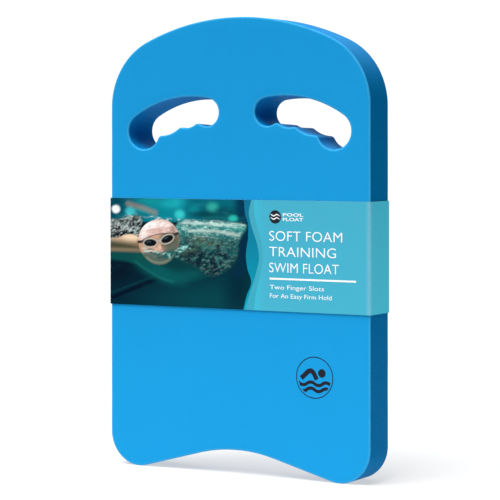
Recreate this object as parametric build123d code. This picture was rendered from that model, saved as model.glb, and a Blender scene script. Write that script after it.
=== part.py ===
from build123d import *
import os
from math import atan2, cos, degrees, hypot, radians, sin, sqrt

# A swimmer's kickboard: one slab of closed-cell foam with two hand slots, and a mark printed on
# its front, held in a card sleeve that is glued shut behind.
# The board stands on its two lobes. The origin is the bottom centre of its box, X runs across
# it, its printed front faces -Y and +Z is up. All sizes are in millimetres and degrees.

# Foam board
BOARD_HEIGHT = 432.0
BOARD_WIDTH = 282.0
BOARD_THICKNESS = 38.0
CROWN_RADIUS = 244.0
SHOULDER_RADIUS = 68.5
LOBE_RADIUS = 32.0
ARCH_RADIUS = 155.0
ARCH_RISE = 22.7
EDGE_EASE = 1.2

# Hand slots: the right one is drawn, and the left one mirrors it. A slot follows an arc about
# SLOT_CENTRE. Its foot is a row of discs: the inner end, two finger grooves and the outer end.
# Each pair of values is for the front face and the back face: the cut narrows towards the back.
SLOT_CENTRE = (51.1, 243.4)
SLOT_TOP_RADII = (113.8, 111.5)
INNER_END_ANGLES = (100.3, 98.5)
INNER_END_RADII = (13.5, 12.9)
OUTER_END_ANGLES = (56.9, 58.7)
OUTER_END_RADII = (17.5, 16.6)
GROOVE_ANGLES = (87.0, 73.2)
GROOVE_FLOOR_RADII = ((83.9, 81.4), (83.2, 80.7))
GROOVE_RADII = (18.9, 31.6)
KNUCKLE_ROUNDING = 5.0

# Card sleeve, wrapped once round the board
SLEEVE_BOTTOM = 155.8
SLEEVE_HEIGHT = 103.5
SLEEVE_GAP = 0.4
CARD_THICKNESS = 0.5
CREASE_RADIUS = 1.0
LAP_X = -50.0
LAP_LENGTH = 20.0
LAP_STEP_CLEARANCE = 1.0
LAP_STEP_RUN = 4.0
GLUE_THICKNESS = 0.1
GLUE_MARGIN = 3.0

# Printed mark: a ring round a swimmer's head and arm above two waves
MARK_CENTRE = (83.8, 95.9)
MARK_RADIUS = 19.4
RING_LINE = 0.8
RING_CLEARANCE = 1.6
INK_THICKNESS = 0.1
HEAD_CENTRE = (7.6, 4.4)
HEAD_RADIUS = 3.9
ARM_LINE = 4.4
ARM_POINTS = ((-14.0, -1.2), (-3.4, 8.6), (2.2, -1.6))
ELBOW_RADIUS = 4.0
WAVE_HEIGHTS = (-5.6, -11.2)
WAVE_LINE = 3.0
WAVE_SPAN = 8.0
WAVE_SAGITTA = 1.4

HALF_WIDTH = BOARD_WIDTH / 2
HALF_THICKNESS = BOARD_THICKNESS / 2


def polar(centre, radius, angle):
    """The point at a radius and an angle about a centre."""
    return (
        centre[0] + radius * cos(radians(angle)),
        centre[1] + radius * sin(radians(angle)),
    )


def bearing(centre, point):
    """The angle of a point about a centre, from 0 to 360."""
    return degrees(atan2(point[1] - centre[1], point[0] - centre[0])) % 360


def board_outline():
    """Arcs and lines of the board's outline, from the arch's top round the right side, mirrored."""
    arch_centre = (0, ARCH_RISE - ARCH_RADIUS)
    lobe_centre = (HALF_WIDTH - LOBE_RADIUS, LOBE_RADIUS)
    crown_centre = (0, BOARD_HEIGHT - CROWN_RADIUS)
    shoulder_x = HALF_WIDTH - SHOULDER_RADIUS
    shoulder_rise = sqrt((CROWN_RADIUS - SHOULDER_RADIUS) ** 2 - shoulder_x**2)
    shoulder_centre = (shoulder_x, crown_centre[1] + shoulder_rise)

    # The straight line between arch and lobe touches both circles from opposite sides.
    across = hypot(lobe_centre[0], lobe_centre[1] - arch_centre[1])
    lean = degrees(atan2(sqrt(across**2 - (ARCH_RADIUS + LOBE_RADIUS) ** 2), ARCH_RADIUS + LOBE_RADIUS))
    touch_angle = bearing(arch_centre, lobe_centre) + lean
    crown_angle = bearing(crown_centre, shoulder_centre)

    CenterArc(arch_centre, ARCH_RADIUS, touch_angle, 90 - touch_angle)
    Line(
        polar(arch_centre, ARCH_RADIUS, touch_angle),
        polar(lobe_centre, LOBE_RADIUS, touch_angle + 180),
    )
    CenterArc(lobe_centre, LOBE_RADIUS, touch_angle + 180, 180 - touch_angle)
    Line((HALF_WIDTH, LOBE_RADIUS), (HALF_WIDTH, shoulder_centre[1]))
    CenterArc(shoulder_centre, SHOULDER_RADIUS, 0, crown_angle)
    CenterArc(crown_centre, CROWN_RADIUS, crown_angle, 90 - crown_angle)
    mirror(about=Plane.YZ)


def slot_discs(face):
    """(centre, radius) of each disc along a slot's foot, from the inner end outwards."""
    top = SLOT_TOP_RADII[face]
    inner = polar(SLOT_CENTRE, top - INNER_END_RADII[face], INNER_END_ANGLES[face])
    outer = polar(SLOT_CENTRE, top - OUTER_END_RADII[face], OUTER_END_ANGLES[face])
    grooves = [
        (polar(SLOT_CENTRE, floor + radius, angle), radius)
        for angle, floor, radius in zip(GROOVE_ANGLES, GROOVE_FLOOR_RADII[face], GROOVE_RADII)
    ]
    return [(inner, INNER_END_RADII[face]), *grooves, (outer, OUTER_END_RADII[face])]


def knuckle(disc, following):
    """The lower of the two points where one disc's edge crosses the next one's."""
    (x0, z0), r0 = disc
    (x1, z1), r1 = following
    gap = hypot(x1 - x0, z1 - z0)
    along = (gap**2 + r0**2 - r1**2) / (2 * gap)
    off = sqrt(r0**2 - along**2)
    run, rise = (x1 - x0) / gap, (z1 - z0) / gap
    return (x0 + along * run + off * rise, z0 + along * rise - off * run)


def slot_outline(face):
    """Arcs of the right slot, anticlockwise from the outer end of its top. Returns the knuckles."""
    discs = slot_discs(face)
    knuckles = [knuckle(disc, following) for disc, following in zip(discs, discs[1:])]
    start, finish = INNER_END_ANGLES[face], OUTER_END_ANGLES[face]
    CenterArc(SLOT_CENTRE, SLOT_TOP_RADII[face], finish, start - finish)
    for index, (centre, radius) in enumerate(discs):
        last = index == len(discs) - 1
        finish = OUTER_END_ANGLES[face] if last else bearing(centre, knuckles[index])
        CenterArc(centre, radius, start, (finish - start) % 360)
        if not last:
            start = bearing(discs[index + 1][0], knuckles[index])
    return knuckles


def slot_cutter():
    """The right slot's empty space, from the front face to the back one."""
    with BuildPart() as cutter:
        for face, depth in enumerate((HALF_THICKNESS, -HALF_THICKNESS)):
            with BuildSketch(Plane.XZ.offset(depth)) as slot:
                with BuildLine():
                    knuckles = slot_outline(face)
                make_face()
                tips = [
                    vertex
                    for vertex in slot.vertices()
                    if any(hypot(vertex.X - x, vertex.Z - z) < KNUCKLE_ROUNDING for x, z in knuckles)
                ]
                fillet(tips, KNUCKLE_ROUNDING)
        loft(ruled=True)
    return cutter.part


def foam_board():
    """The slab, with its hand slots cut through and every face's rim eased."""
    with BuildPart() as board:
        with BuildSketch(Plane.XZ):
            with BuildLine():
                board_outline()
            make_face()
        extrude(amount=HALF_THICKNESS, both=True)
        cutter = slot_cutter()
        add(cutter, mode=Mode.SUBTRACT)
        add(mirror(cutter, about=Plane.YZ), mode=Mode.SUBTRACT)
        flats = board.faces().filter_by(Axis.Y)
        fillet([edge for face in flats for edge in face.edges()], EDGE_EASE)
    return board.part


def card_sleeve():
    """One strip of card: in behind the lap, round the board, and out over its own start."""
    side = HALF_WIDTH + SLEEVE_GAP + CARD_THICKNESS / 2
    face = HALF_THICKNESS + SLEEVE_GAP + CARD_THICKNESS / 2
    flap = face + CARD_THICKNESS + GLUE_THICKNESS
    step_end = LAP_X + LAP_STEP_CLEARANCE
    route = [
        (LAP_X, face),
        (-side, face),
        (-side, -face),
        (side, -face),
        (side, face),
        (step_end + LAP_STEP_RUN, face),
        (step_end, flap),
        (LAP_X - LAP_LENGTH, flap),
    ]
    creases = [CREASE_RADIUS] * 4 + [0, 0]
    with BuildPart() as sleeve:
        with BuildSketch(Plane.XY.offset(SLEEVE_BOTTOM)):
            with BuildLine():
                FilletPolyline(*route, radius=creases)
            trace(line_width=CARD_THICKNESS)
        extrude(amount=SLEEVE_HEIGHT)
    return sleeve.part


def sleeve_glue():
    """The strip of glue between the lap's two layers."""
    inner_layer = HALF_THICKNESS + SLEEVE_GAP + CARD_THICKNESS
    width = LAP_LENGTH - 2 * GLUE_MARGIN
    height = SLEEVE_HEIGHT - 2 * GLUE_MARGIN
    centre = (
        LAP_X - LAP_LENGTH / 2,
        inner_layer + GLUE_THICKNESS / 2,
        SLEEVE_BOTTOM + SLEEVE_HEIGHT / 2,
    )
    return Pos(*centre) * Box(width, GLUE_THICKNESS, height)


def wave_line(height):
    """One printed wave at a height: arcs that bend up and down by turns."""
    count = 2 * int(MARK_RADIUS / WAVE_SPAN) + 2
    start = -count * WAVE_SPAN / 2
    with BuildLine() as wave:
        for index in range(count):
            left = (start + index * WAVE_SPAN, height)
            right = (start + (index + 1) * WAVE_SPAN, height)
            SagittaArc(left, right, WAVE_SAGITTA * (-1) ** index)
    return wave.line


def printed_mark():
    """The ink of the mark, standing just proud of the board's front face."""
    front = Plane((MARK_CENTRE[0], -HALF_THICKNESS, MARK_CENTRE[1]), x_dir=(1, 0, 0), z_dir=(0, -1, 0))
    with BuildPart() as mark:
        with BuildSketch(front):
            for height in WAVE_HEIGHTS:
                trace(wave_line(height), line_width=WAVE_LINE)
            with BuildLine():
                FilletPolyline(*ARM_POINTS, radius=ELBOW_RADIUS)
            trace(line_width=ARM_LINE)
            Circle(MARK_RADIUS - RING_LINE - RING_CLEARANCE, mode=Mode.INTERSECT)
            with Locations(HEAD_CENTRE):
                Circle(HEAD_RADIUS)
            with BuildSketch(mode=Mode.ADD):
                Circle(MARK_RADIUS)
                Circle(MARK_RADIUS - RING_LINE, mode=Mode.SUBTRACT)
        extrude(amount=INK_THICKNESS)
    return mark.part


PARTS = {
    "foam_board": foam_board,
    "printed_mark": printed_mark,
    "card_sleeve": card_sleeve,
    "sleeve_glue": sleeve_glue,
}

os.makedirs("parts", exist_ok=True)
for name, make in PARTS.items():
    export_step(make(), f"parts/{name}.step")
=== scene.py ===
"""Looks of a swimmer's kickboard float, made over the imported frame.

A blue foam slab with two scalloped hand slots carries a round printed mark, and a printed card
sleeve wraps it. Everything is in metres: X across the board, its printed front towards -Y, +Z up.
"""

import logging
import math
from dataclasses import dataclass, field
from enum import Enum
from typing import Callable, Sequence

import bpy
import numpy as np
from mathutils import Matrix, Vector
from mathutils.geometry import delaunay_2d_cdt


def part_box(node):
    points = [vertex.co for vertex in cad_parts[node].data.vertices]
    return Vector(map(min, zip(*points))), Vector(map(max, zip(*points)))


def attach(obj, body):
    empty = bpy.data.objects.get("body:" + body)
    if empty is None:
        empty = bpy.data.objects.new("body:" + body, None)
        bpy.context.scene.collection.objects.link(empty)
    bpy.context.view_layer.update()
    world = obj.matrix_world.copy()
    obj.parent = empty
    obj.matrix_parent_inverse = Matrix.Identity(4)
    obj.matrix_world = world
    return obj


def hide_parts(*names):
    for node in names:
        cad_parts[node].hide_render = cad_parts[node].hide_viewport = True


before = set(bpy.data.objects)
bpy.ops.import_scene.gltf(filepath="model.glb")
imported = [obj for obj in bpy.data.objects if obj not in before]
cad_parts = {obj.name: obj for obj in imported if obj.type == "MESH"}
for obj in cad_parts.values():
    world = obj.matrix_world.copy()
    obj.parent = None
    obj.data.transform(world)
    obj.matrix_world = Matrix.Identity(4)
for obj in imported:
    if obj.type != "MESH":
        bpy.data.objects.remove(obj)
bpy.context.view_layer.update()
LOG = logging.getLogger("kickboard")
Point = tuple[float, float]
Colour = tuple[float, float, float]
Triple = tuple[float, float, float]
Socket = bpy.types.NodeSocket
Value = float | Sequence[float] | Socket
METRE = 1000  # millimetres


class Body(Enum):
    """The bodies that pieces ride on."""

    BOARD = "board"
    SLEEVE = "sleeve"


class Slot(Enum):
    """The names of the two material slots."""

    FOAM = "blue_foam"
    CARD = "printed_card"


# ---------------------------------------------------------------- outlines


def polar(centre: Point, radius: float, angle: float) -> Point:
    """The point at a radius and an angle, in radians, about a centre."""
    return (centre[0] + radius * math.cos(angle), centre[1] + radius * math.sin(angle))


def bearing(centre: Point, point: Point) -> float:
    """The angle of a point about a centre, in radians."""
    return math.atan2(point[1] - centre[1], point[0] - centre[0])


@dataclass(frozen=True)
class Arc:
    """A round stretch of an outline in the XZ plane: angles in radians, anticlockwise positive."""

    centre: Point
    radius: float
    start: float
    sweep: float

    def at(self, angle: float) -> Point:
        """The point of the circle at an angle."""
        return polar(self.centre, self.radius, angle)

    def mirrored(self) -> "Arc":
        """The same stretch on the other side of the board, run the same way round."""
        start = math.pi - self.start - self.sweep
        return Arc((-self.centre[0], self.centre[1]), self.radius, start, self.sweep)


JOIN_SHARE = 0.05  # arcs whose ends are nearer than this share of a step meet in one point
LARGEST_TURN = math.radians(5)  # between two points of an arc


@dataclass(frozen=True)
class Outline:
    """A closed outline of arcs, run anticlockwise, joined by straight lines where they don't meet."""

    arcs: tuple[Arc, ...]

    def mirrored(self) -> "Outline":
        """The outline on the other side of the board."""
        return Outline(tuple(arc.mirrored() for arc in reversed(self.arcs)))

    def sample(self, step: float, like: "Outline | None" = None) -> tuple[np.ndarray, np.ndarray]:
        """Evenly spaced points round the outline.

        Args:
            step: the longest distance between two points.
            like: an outline of as many arcs, each of which gets as many points as its own there.

        Returns:
            The points and their outward normals, each of shape (count, 2).
        """
        points, normals = [], []
        guides = (like or self).arcs
        for arc, following, guide in zip(self.arcs, self.arcs[1:] + self.arcs[:1], guides):
            sweep = abs(guide.sweep)
            count = max(2, math.ceil(max(sweep * guide.radius / step, sweep / LARGEST_TURN)))
            angles = arc.start + arc.sweep * np.arange(count + 1) / count
            radial = np.stack([np.cos(angles), np.sin(angles)], axis=1)
            points.append(np.array(arc.centre) + arc.radius * radial)
            normals.append(radial * math.copysign(1.0, arc.sweep))
            begin, end = points[-1][-1], np.array(following.at(following.start))
            length = float(np.linalg.norm(end - begin))
            count = math.ceil(length / step)
            if length < step * JOIN_SHARE:
                points[-1], normals[-1] = points[-1][:-1], normals[-1][:-1]
            elif count > 1:
                share = np.arange(1, count)[:, None] / count
                points.append(begin + (end - begin) * share)
                normals.append(np.repeat(normals[-1][-1:], count - 1, axis=0))
        return np.concatenate(points), np.concatenate(normals)


def inside(points: np.ndarray, loop: np.ndarray) -> np.ndarray:
    """Which points lie inside a closed loop.

    Args:
        points: shape (count, 2).
        loop: the loop's corners, shape (corners, 2).

    Returns:
        One True or False for each point.
    """
    x, z = points[:, :1], points[:, 1:]
    x0, z0 = loop[:, 0], loop[:, 1]
    x1, z1 = np.roll(x0, -1), np.roll(z0, -1)
    spans = (z0 > z) != (z1 > z)
    rise = np.where(z1 == z0, 1.0, z1 - z0)
    crossing = x0 + (z - z0) * (x1 - x0) / rise
    return (np.sum(spans & (x < crossing), axis=1) % 2) == 1


@dataclass(frozen=True)
class BoardShape:
    """The board's outline: an arched crown, round shoulders, two lobes and an arch between them."""

    crown_radius: float = 0.244
    shoulder_radius: float = 0.0685
    lobe_radius: float = 0.032
    arch_radius: float = 0.155
    arch_rise: float = 0.0227

    def outline(self, half_width: float, height: float) -> Outline:
        """The outline at the CAD board's own width and height.

        Args:
            half_width: half of the board's width.
            height: the board's height.

        Returns:
            The closed outline, from the middle of the arch.
        """
        arch_centre = (0.0, self.arch_rise - self.arch_radius)
        lobe_centre = (half_width - self.lobe_radius, self.lobe_radius)
        crown_centre = (0.0, height - self.crown_radius)
        shoulder_x = half_width - self.shoulder_radius
        rise = math.sqrt((self.crown_radius - self.shoulder_radius) ** 2 - shoulder_x**2)
        shoulder_centre = (shoulder_x, crown_centre[1] + rise)

        reach = self.arch_radius + self.lobe_radius
        across = math.hypot(lobe_centre[0], lobe_centre[1] - arch_centre[1])
        touch = bearing(arch_centre, lobe_centre) + math.acos(reach / across)
        crown = bearing(crown_centre, shoulder_centre)

        right = (
            Arc(arch_centre, self.arch_radius, math.pi / 2, touch - math.pi / 2),
            Arc(lobe_centre, self.lobe_radius, touch - math.pi, math.pi - touch),
            Arc(shoulder_centre, self.shoulder_radius, 0.0, crown),
        )
        top = Arc(crown_centre, self.crown_radius, crown, math.pi - 2 * crown)
        left = tuple(arc.mirrored() for arc in reversed(right))
        return Outline((*right, top, *left))


@dataclass(frozen=True)
class SlotShape:
    """A hand slot along an arc, with round ends and two finger grooves in its foot.

    Angles are in degrees. Each pair is for the front face and the back face: the cut narrows
    towards the back.
    """

    centre: Point = (0.0511, 0.2434)
    top_radii: Point = (0.1138, 0.1115)
    inner_angles: Point = (100.3, 98.5)
    inner_radii: Point = (0.0135, 0.0129)
    outer_angles: Point = (56.9, 58.7)
    outer_radii: Point = (0.0175, 0.0166)
    groove_angles: Point = (87.0, 73.2)
    groove_floors: tuple[Point, Point] = ((0.0839, 0.0814), (0.0832, 0.0807))
    groove_radii: Point = (0.0189, 0.0316)
    knuckle_radius: float = 0.005

    def discs(self, face: int) -> list[tuple[Point, float]]:
        """Centre and radius of each disc along the foot, from the inner end outwards.

        Args:
            face: 0 for the front face, 1 for the back face.

        Returns:
            The four discs.
        """
        top = self.top_radii[face]
        inner, outer = self.inner_radii[face], self.outer_radii[face]
        grooves = [
            (polar(self.centre, floor + radius, math.radians(angle)), radius)
            for angle, floor, radius in zip(self.groove_angles, self.groove_floors[face], self.groove_radii)
        ]
        return [
            (polar(self.centre, top - inner, math.radians(self.inner_angles[face])), inner),
            *grooves,
            (polar(self.centre, top - outer, math.radians(self.outer_angles[face])), outer),
        ]

    def knuckle(self, disc: tuple[Point, float], following: tuple[Point, float]) -> Point:
        """Centre of the foam knuckle that touches two neighbouring discs from below.

        Args:
            disc: centre and radius of one disc.
            following: centre and radius of the next disc outwards.

        Returns:
            The knuckle's centre.
        """
        (x0, z0), r0 = disc
        (x1, z1), r1 = following
        r0, r1 = r0 + self.knuckle_radius, r1 + self.knuckle_radius
        gap = math.hypot(x1 - x0, z1 - z0)
        along = (gap**2 + r0**2 - r1**2) / (2 * gap)
        off = math.sqrt(r0**2 - along**2)
        run, rise = (x1 - x0) / gap, (z1 - z0) / gap
        return (x0 + along * run + off * rise, z0 + along * rise - off * run)

    def outline(self, face: int) -> Outline:
        """The right-hand slot's closed outline.

        Args:
            face: 0 for the front face, 1 for the back face.

        Returns:
            The outline, from the outer end of its top.
        """
        discs = self.discs(face)
        begin, start = math.radians(self.outer_angles[face]), math.radians(self.inner_angles[face])
        arcs = [Arc(self.centre, self.top_radii[face], begin, start - begin)]
        for disc, following in zip(discs, discs[1:]):
            knuckle = self.knuckle(disc, following)
            finish = bearing(disc[0], knuckle)
            arcs.append(Arc(*disc, start, (finish - start) % math.tau))
            start = bearing(following[0], knuckle)
            turn = (start - finish) % math.tau - math.tau
            arcs.append(Arc(knuckle, self.knuckle_radius, finish + math.pi, turn))
        arcs.append(Arc(*discs[-1], start, (begin - start) % math.tau))
        return Outline(tuple(arcs))


# ---------------------------------------------------------------- shared mesh work


def smooth_step(value: np.ndarray, low: float, high: float) -> np.ndarray:
    """0 below low, 1 above high, and a smooth rise between them (or a fall, if low is above high)."""
    share = np.clip((value - low) / (high - low), 0.0, 1.0)
    return share * share * (3.0 - 2.0 * share)


@dataclass(frozen=True)
class Ripple:
    """Smooth seeded noise over a plane, from 0 to 1."""

    seed: int
    lattice: int = 64

    def at(self, across: np.ndarray, up: np.ndarray) -> np.ndarray:
        """The noise at a place, with one lattice cell to a unit.

        Args:
            across: first coordinate, in cells.
            up: second coordinate, in cells.

        Returns:
            Values from 0 to 1, in the shape of the coordinates.
        """
        table = np.random.default_rng(self.seed).random((self.lattice, self.lattice))
        i, j = np.floor(across).astype(int), np.floor(up).astype(int)
        s, t = across - i, up - j
        s, t = s * s * (3 - 2 * s), t * t * (3 - 2 * t)
        n = self.lattice
        low = table[i % n, j % n] * (1 - s) + table[(i + 1) % n, j % n] * s
        high = table[i % n, (j + 1) % n] * (1 - s) + table[(i + 1) % n, (j + 1) % n] * s
        return low * (1 - t) + high * t

    def layered(self, across: np.ndarray, up: np.ndarray, octaves: int = 4) -> np.ndarray:
        """Several finer layers of the noise, each half as strong as the last.

        Args:
            across: first coordinate, in cells of the coarsest layer.
            up: second coordinate, in cells of the coarsest layer.
            octaves: how many layers.

        Returns:
            Values from 0 to 1.
        """
        total = np.zeros(np.broadcast(across, up).shape)
        weight = 0.0
        for layer in range(octaves):
            share = 0.5**layer
            finer = Ripple(self.seed + layer, self.lattice)
            total += share * finer.at(across * 2**layer, up * 2**layer)
            weight += share
        return total / weight


SHARP_FOLD = math.radians(50)  # faces that meet more steeply than this meet in a hard edge


def new_piece(name: str, verts: np.ndarray, faces: Sequence[Sequence[int]]) -> bpy.types.Object:
    """A smooth-shaded mesh object in the scene.

    Args:
        name: the piece's name.
        verts: its vertices, shape (count, 3).
        faces: corner indices of each face.

    Returns:
        The new object.
    """
    mesh = bpy.data.meshes.new(name)
    mesh.from_pydata(verts.tolist(), [], [tuple(face) for face in faces])
    mesh.validate()
    mesh.shade_smooth()
    mesh.set_sharp_from_angle(angle=SHARP_FOLD)
    piece = bpy.data.objects.new(name, mesh)
    bpy.context.scene.collection.objects.link(piece)
    return piece


def set_values(piece: bpy.types.Object, name: str, values: np.ndarray) -> None:
    """Stores one number for each vertex, for a material to read.

    Args:
        piece: the mesh object.
        name: the attribute's name.
        values: one number for each vertex.
    """
    layer = piece.data.attributes.new(name, "FLOAT", "POINT")
    layer.data.foreach_set("value", np.asarray(values, np.float32))


def set_colours(piece: bpy.types.Object, name: str, colours: np.ndarray) -> None:
    """Stores one linear colour for each vertex, for a material to read.

    Args:
        piece: the mesh object.
        name: the attribute's name.
        colours: shape (vertices, 3), linear.
    """
    layer = piece.data.color_attributes.new(name, "FLOAT_COLOR", "POINT")
    rgba = np.concatenate([colours, np.ones((len(colours), 1))], axis=1)
    layer.data.foreach_set("color", rgba.astype(np.float32).ravel())


def slab(name: str, front: np.ndarray, back: np.ndarray) -> tuple[bpy.types.Object, np.ndarray]:
    """A closed slab between two grids of points.

    Args:
        name: the piece's name.
        front: the outer grid, shape (rows, columns, 3), its columns running to the right of its rows.
        back: the inner grid, of the same shape.

    Returns:
        The new object, and which of its faces belong to the rim between the grids.
    """
    rows, columns = front.shape[:2]
    index = np.arange(rows * columns).reshape(rows, columns)
    a, b = index[:-1, :-1].ravel(), index[:-1, 1:].ravel()
    c, d = index[1:, 1:].ravel(), index[1:, :-1].ravel()
    outer = np.stack([a, b, c, d], axis=1)
    inner = outer[:, ::-1] + rows * columns
    edge = np.concatenate([index[0, :-1], index[:-1, -1], index[-1, :0:-1], index[:0:-1, 0]])
    after = np.roll(edge, -1)
    rim = np.stack([edge, edge + rows * columns, after + rows * columns, after], axis=1)
    faces = np.concatenate([outer, inner, rim])
    verts = np.concatenate([front.reshape(-1, 3), back.reshape(-1, 3)])
    on_rim = np.arange(len(faces)) >= 2 * len(outer)
    return new_piece(name, verts, faces.tolist()), on_rim


# ---------------------------------------------------------------- shader benches and effects


class Bench:
    """Adds nodes to a material's or a group's tree, and links them."""

    def __init__(self, tree: bpy.types.NodeTree) -> None:
        """Works on a tree."""
        self.tree = tree

    def add(self, kind: str, inputs: dict | None = None, **settings: object) -> bpy.types.Node:
        """Adds a node.

        Args:
            kind: the node's type name, without its ShaderNode prefix.
            inputs: socket values or output sockets, by input name or number.
            settings: the node's own properties.

        Returns:
            The new node.
        """
        node = self.tree.nodes.new("ShaderNode" + kind)
        for key, value in settings.items():
            setattr(node, key, value)
        self.feed(node, inputs or {})
        return node

    def feed(self, node: bpy.types.Node, inputs: dict) -> None:
        """Sets or links a node's inputs.

        Args:
            node: the node to feed.
            inputs: socket values or output sockets, by input name or number.
        """
        for key, value in inputs.items():
            if isinstance(value, Socket):
                self.tree.links.new(value, node.inputs[key])
            else:
                node.inputs[key].default_value = value

    def mix(self, share: Value, first: Value, second: Value) -> Socket:
        """Mixes two colours.

        Args:
            share: how much of the second, a number or a socket.
            first: a colour or a socket.
            second: a colour or a socket.

        Returns:
            The mixed colour's socket.
        """
        node = self.add("Mix", data_type="RGBA")
        for key, value in zip((0, 6, 7), (share, first, second)):
            if isinstance(value, tuple) and len(value) == 3:
                value = (*value, 1.0)
            self.feed(node, {key: value})
        return node.outputs[2]

    def spread(self, value: Socket, low: float, high: float, to_low: float, to_high: float) -> Socket:
        """Maps a range of values to another, smoothly, and holds it there.

        Args:
            value: the socket to map.
            low: the range's start.
            high: the range's end.
            to_low: what the start becomes.
            to_high: what the end becomes.

        Returns:
            The mapped value's socket.
        """
        node = self.add("MapRange", interpolation_type="SMOOTHSTEP")
        self.feed(node, {0: value, 1: low, 2: high, 3: to_low, 4: to_high})
        return node.outputs[0]

    def maths(self, operation: str, *values: Value) -> Socket:
        """One step of arithmetic on numbers or sockets."""
        node = self.add("Math", operation=operation)
        self.feed(node, dict(enumerate(values)))
        return node.outputs[0]


class Effect:
    """A shader node group that several materials share, built once."""

    built: dict[str, bpy.types.NodeTree] = {}

    @staticmethod
    def group(
        name: str, inputs: dict[str, Value | None], outputs: dict[str, str], fill: Callable
    ) -> bpy.types.NodeTree:
        """The named group, built the first time it is asked for.

        Args:
            name: the group's name.
            inputs: each input's default: a number, a 3-tuple for a colour, or None for a vector.
            outputs: each output's socket type.
            fill: makes the nodes from (bench, input sockets by name) and returns the outputs by name.

        Returns:
            The group's tree.
        """
        if name in Effect.built:
            return Effect.built[name]
        tree = bpy.data.node_groups.new(name, "ShaderNodeTree")
        for key, default in inputs.items():
            kind = "Vector" if default is None else "Color" if isinstance(default, tuple) else "Float"
            socket = tree.interface.new_socket(key, in_out="INPUT", socket_type="NodeSocket" + kind)
            if default is not None:
                socket.default_value = (*default, 1.0) if isinstance(default, tuple) else default
        for key, kind in outputs.items():
            tree.interface.new_socket(key, in_out="OUTPUT", socket_type="NodeSocket" + kind)
        entry, leave = tree.nodes.new("NodeGroupInput"), tree.nodes.new("NodeGroupOutput")
        bench = Bench(tree)
        bench.feed(leave, fill(bench, entry.outputs))
        Effect.built[name] = tree
        return tree

    @staticmethod
    def place(bench: Bench, tree: bpy.types.NodeTree, inputs: dict) -> bpy.types.Node:
        """Puts a group into a material with its own values."""
        node = bench.add("Group", node_tree=tree)
        bench.feed(node, inputs)
        return node


EVEN: Triple = (1.0, 1.0, 1.0)  # a stretch that leaves every axis as it is
DOME = (0.1, 0.8)  # how far from its middle a cell's dome begins to fall, and ends
DOME_GRAIN = 0.6  # height of the finer grain on the domes
PIT_HEIGHT = 0.4  # where the domes are lower than this, pits open


def closed_cells(bench: Bench, vector: Socket, size: float, stretch: Triple = EVEN) -> bpy.types.Node:
    """Foam's closed cells: a pebbled height and a mask of the open pits between them.

    Args:
        bench: the material to place it in.
        vector: the coordinates' socket, in metres.
        size: the size of a cell.
        stretch: how many times finer the cells are along each axis.

    Returns:
        The group node, with outputs Height and Pits.
    """

    def fill(inner: Bench, given: bpy.types.NodeOutputs) -> dict[str, Socket]:
        """Makes the group's nodes."""
        scaled = inner.add("VectorMath", {0: given["Vector"], 1: given["Stretch"]}, operation="MULTIPLY")
        scale = inner.maths("DIVIDE", 1.0, given["Cell Size"])
        places = {"Vector": scaled.outputs[0], "Scale": scale}
        cells = inner.add("TexVoronoi", places, feature="SMOOTH_F1")
        grain = inner.add("TexNoise", {**places, "Detail": 3.0})
        dome = inner.spread(cells.outputs["Distance"], *DOME, 1.0, 0.0)
        height = inner.maths("ADD", dome, inner.maths("MULTIPLY", grain.outputs[0], DOME_GRAIN))
        pits = inner.maths("MULTIPLY", inner.spread(dome, 0.0, PIT_HEIGHT, 1.0, 0.0), grain.outputs[0])
        return {"Height": height, "Pits": pits}

    tree = Effect.group(
        "closed_cells",
        {"Vector": None, "Cell Size": 0.001, "Stretch": None},
        {"Height": "Float", "Pits": "Float"},
        fill,
    )
    return Effect.place(bench, tree, {"Vector": vector, "Cell Size": size, "Stretch": stretch})


def mottle(bench: Bench, vector: Socket, colour: Value, size: float, amount: float) -> Socket:
    """Soft uneven shade over a colour, as in foam and in print.

    Args:
        bench: the material to place it in.
        vector: the coordinates' socket, in metres.
        colour: the colour, or its socket.
        size: the size of the patches.
        amount: how much lighter or darker they get, as a share.

    Returns:
        The shaded colour's socket.
    """

    def fill(inner: Bench, given: bpy.types.NodeOutputs) -> dict[str, Socket]:
        """Makes the group's nodes."""
        places = {"Vector": given["Vector"], "Scale": inner.maths("DIVIDE", 1.0, given["Patch Size"])}
        noise = inner.add("TexNoise", {**places, "Detail": 4.0, "Roughness": 0.6})
        swing = inner.maths("MULTIPLY", inner.maths("SUBTRACT", noise.outputs[0], 0.5), given["Amount"])
        gain = inner.maths("ADD", 1.0, swing)
        shaded = inner.add("VectorMath", {0: given["Color"], "Scale": gain}, operation="SCALE")
        return {"Color": shaded.outputs[0]}

    tree = Effect.group(
        "mottle",
        {"Vector": None, "Color": (0.5, 0.5, 0.5), "Patch Size": 0.02, "Amount": 0.1},
        {"Color": "Color"},
        fill,
    )
    value = (*colour, 1.0) if isinstance(colour, tuple) else colour
    inputs = {"Vector": vector, "Color": value, "Patch Size": size, "Amount": amount}
    return Effect.place(bench, tree, inputs).outputs["Color"]


BREAKS = (0.25, 0.75)  # the noise between which the wear and the painted highlight are weakest and full
LEAST_WEAR_AND_HIGHLIGHT = 0.35


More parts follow.
